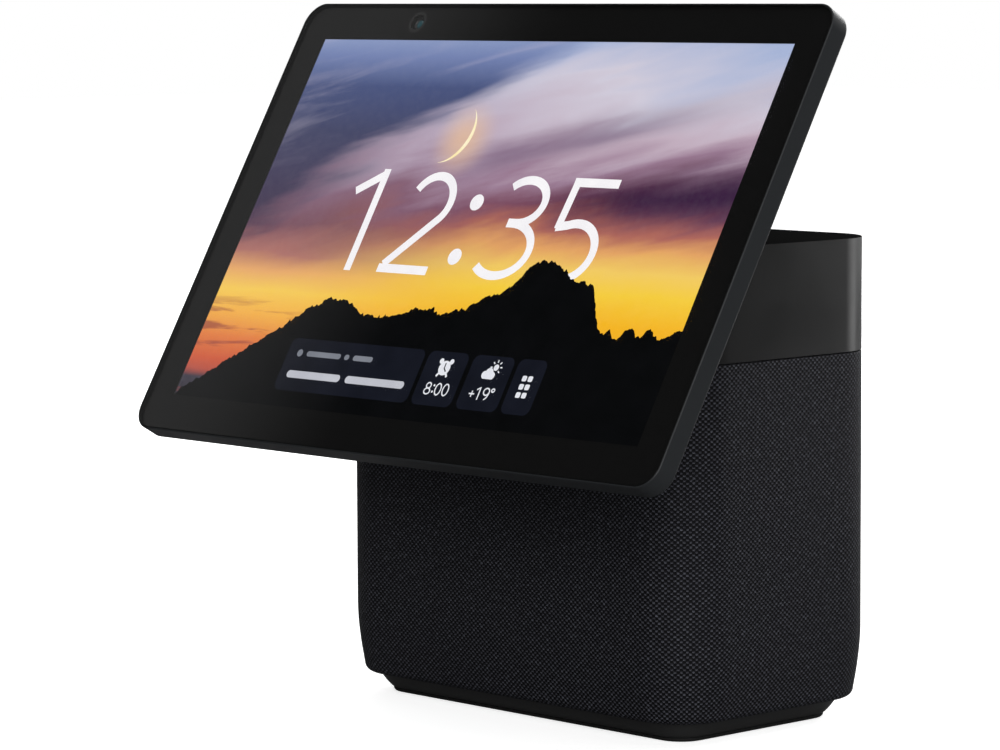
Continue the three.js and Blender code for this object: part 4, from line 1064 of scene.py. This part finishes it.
def hills():
    """A ridge of hills from smooth bumps and seeded roughness, filled down to the picture's lower edge."""
    spread = np.random.default_rng(7)
    x = np.linspace(-ACTIVE[0] / 2, ACTIVE[0] / 2, 620)
    y = -33.5 - 0.69 * np.maximum(-61 - x, 0)
    bumps = (
        (-50, 9, 4.5), (-40.5, 5, 2.6), (-5, 12, 4.2), (22, 13, 9), (38, 9, 21), (49, 7, 15), (60, 8, 15),
        (67, 6, 7), (78.5, 1.5, 1.5), (87, 3, 3.4), (95, 1.8, 3.0), (98.5, 0.9, 1.2), (108, 5, 4),
    )
    for at, width, rise in bumps:
        y += rise * np.exp(-(((x - at) / width) ** 2))
    for count, size in ((26, 0.5), (90, 0.45), (240, 0.4), (560, 0.24)):
        knots = np.linspace(x[0], x[-1], count)
        y += np.interp(x, knots, spread.normal(0, size, count))
    bottom = -ACTIVE[1] / 2
    y = np.maximum(y, bottom + 0.2)
    points = [(a, bottom) for a in x] + list(zip(x, y))
    return points, strips(2, len(x), ring_points=False)


flat_piece("hill_silhouette", [hills()], 0.07, glowing("hill_dark", (1, 2, 3), 1.0, (4, 5, 7)))


def rounded(left, right, y, height, radius, steps):
    """A rounded rectangle round a middle height."""
    return [((left + right) / 2 + a, y + b) for a, b in outline(right - left, height, radius, steps)]


def pill(left, right, y, height):
    return rounded(left, right, y, height, height / 2 - 0.01, 6)


cards = [rounded(left, right, -52.65, 18.7, 2.6, 8)
         for left, right in ((-61.0, 3.4), (5.2, 23.6), (25.8, 44.2), (46.0, 58.6))]
flat_piece("info_cards", cards, 0.095, glowing("card_navy", (16, 19, 29), 1.0, (22, 25, 36)))


def clock_icon(x, y):
    face = [disc(x, y, 2.55), disc(x - 2.3, y + 2.3, 0.95, 16), disc(x + 2.3, y + 2.3, 0.95, 16)]
    return face + [stroke([(x + s * 1.5, y - 1.7), (x + s * 2.4, y - 3.0)], 0.8) for s in (-1, 1)]


def weather_icon(x, y):
    cloud = [disc(x - 1.9, y - 1.2, 1.35, 20), disc(x - 0.2, y - 0.5, 1.75, 24),
             disc(x + 1.4, y - 1.3, 1.25, 20), pill(x - 2.6, x + 2.3, y - 2.0, 1.2)]
    sun = (x + 2.0, y + 1.5)
    rays = [stroke([(sun[0] + 1.7 * math.cos(a), sun[1] + 1.7 * math.sin(a)),
                    (sun[0] + 2.6 * math.cos(a), sun[1] + 2.6 * math.sin(a))], 0.45)
            for a in np.radians(np.arange(-40, 181, 44))]
    return cloud + [disc(*sun, 1.1, 20)] + rays


small = clock_icon(14.4, -48.9) + weather_icon(35.1, -48.6)
for kind, x in (("8", 9.2), ("0", 13.9), ("0", 17.3), ("+", 29.4), ("1", 32.4), ("9", 35.6), ("o", 38.9)):
    small += figure(kind, x, -58.4, 4.4, 0.48)
small += [disc(13.1, y, 0.4, 12) for y in (-55.0, -57.2)]
for x in (51.0, 53.6):
    small += [rounded(x - 1, x + 1, -52.6 + row * 2.8, 1.9, 0.5, 4) for row in (-1, 0, 1)]
flat_piece("card_marks", small, 0.12, glowing("mark_white", (226, 228, 236), 1.05, (238, 240, 245)))
bars = [pill(left, right, -56.1, 2.6) for left, right in ((-57.2, -31.2), (-28.6, -0.6))]
flat_piece("card_bars", bars, 0.12, glowing("bar_white", (186, 188, 198), 1.05, (200, 202, 210)))
notes = [pill(left, right, -48.5, 1.9) for left, right in ((-51.6, -35.0), (-33.2, -30.9), (-29.0, -19.6))]
notes.append(disc(-55.0, -48.5, 1.3, 24))
flat_piece("card_notes", notes, 0.12, glowing("note_grey", (118, 122, 132), 1.05, (132, 136, 146)))
hands = [stroke([(14.4, -47.2), (14.4, -49.0), (15.5, -50.1)], 0.5)]
flat_piece("clock_hands", hands, 0.14, glowing("hand_navy", (16, 19, 29), 1.0, (20, 23, 33)))

# ---- Studio ----

def floor_material():
    """Pale paper that looks bright itself and throws little light back up."""
    g = Graph("studio_paper")
    tone = g.noise(g.place(), 0.004, 2.0)
    far = g.add("VectorMath", {0: g.add("TexCoord", output=3)}, output=1, operation="LENGTH")
    paper_tone = g.mix(tone, (0.9, 0.9, 0.9, 1), (0.94, 0.94, 0.94, 1))
    seen = g.add("AddShader", {
        0: g.add("BsdfDiffuse", {"Color": paper_tone}),
        1: g.add("Emission", {"Color": (1, 1, 1, 1), "Strength": g.range(far, 0.2, 1.0, 0.72, 1.0)}),
    })
    dim = g.add("BsdfDiffuse", {"Color": (0.22, 0.22, 0.225, 1)})
    first = g.add("LightPath", output=0)
    return g.finish(g.add("MixShader", {0: first, 1: dim, 2: seen}))


FLOOR = 6000
corners = [(x * FLOOR, y * FLOOR, -0.2) for x, y in ((-1, -1), (1, -1), (1, 1), (-1, 1))]
piece("studio_floor", corners, [(0, 1, 2, 3)], None, None, floor_material())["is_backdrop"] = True


def studio_world():
    """White to the camera, and to everything else a dim room with two brighter sides behind."""
    g = Graph("studio", bpy.data.worlds.new("studio"))
    direction = g.add("TexCoord", output=0)

    def facing(axis, low, high, strength):
        """Light from one side of the room, as far round as an axis's part of the direction goes."""
        part = g.add("VectorMath", {0: direction, 1: axis}, output=1, operation="DOT_PRODUCT")
        return g.range(part, low, high, 0.0, strength, smooth=True)

    light = g.plus(facing((-0.644, 0.71, -0.284), 0.036, 0.08, 0.19), 0.014)
    light = g.plus(light, facing((-0.5, 0.87, 0.05), 0.42, 0.86, 0.75))
    lamp = g.add("Background", {"Color": (1, 1, 1, 1), "Strength": light})
    white_back = g.add("Background", {"Color": (1, 1, 1, 1), "Strength": 1.0})
    from_camera = g.add("LightPath", output=0)
    return g.finish(g.add("MixShader", {0: from_camera, 1: lamp, 2: white_back}), "OutputWorld")


bpy.context.scene.world = studio_world()


def softbox(name, place, aim, size, watts):
    data = bpy.data.lights.new(name, "AREA")
    data.shape, data.size, data.size_y, data.energy = "RECTANGLE", size[0], size[1], watts
    lamp = bpy.data.objects.new(name, data)
    bpy.context.scene.collection.objects.link(lamp)
    lamp.location = place
    lamp.rotation_mode = "QUATERNION"
    lamp.rotation_quaternion = (Vector(aim) - Vector(place)).to_track_quat("-Z", "Y")
    return lamp


softbox("overhead", (0.1, 0.1, 1.9), (0, 0, 0.1), (2.4, 2.4), 20)
softbox("key", (1.72, -1.36, 0.7), (0, 0, 0.06), (1.4, 1.4), 40)
softbox("back", (-0.9, 1.7, 0.9), (0, 0, 0.1), (1.2, 1.2), 22)
strip = softbox("strip", (0.111, 0.108, 0.13), (0.078, 0.036, 0.13), (0.03, 0.16), 0.03)
strip.visible_camera = False

bpy.context.scene.view_settings.view_transform = "Standard"

low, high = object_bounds()
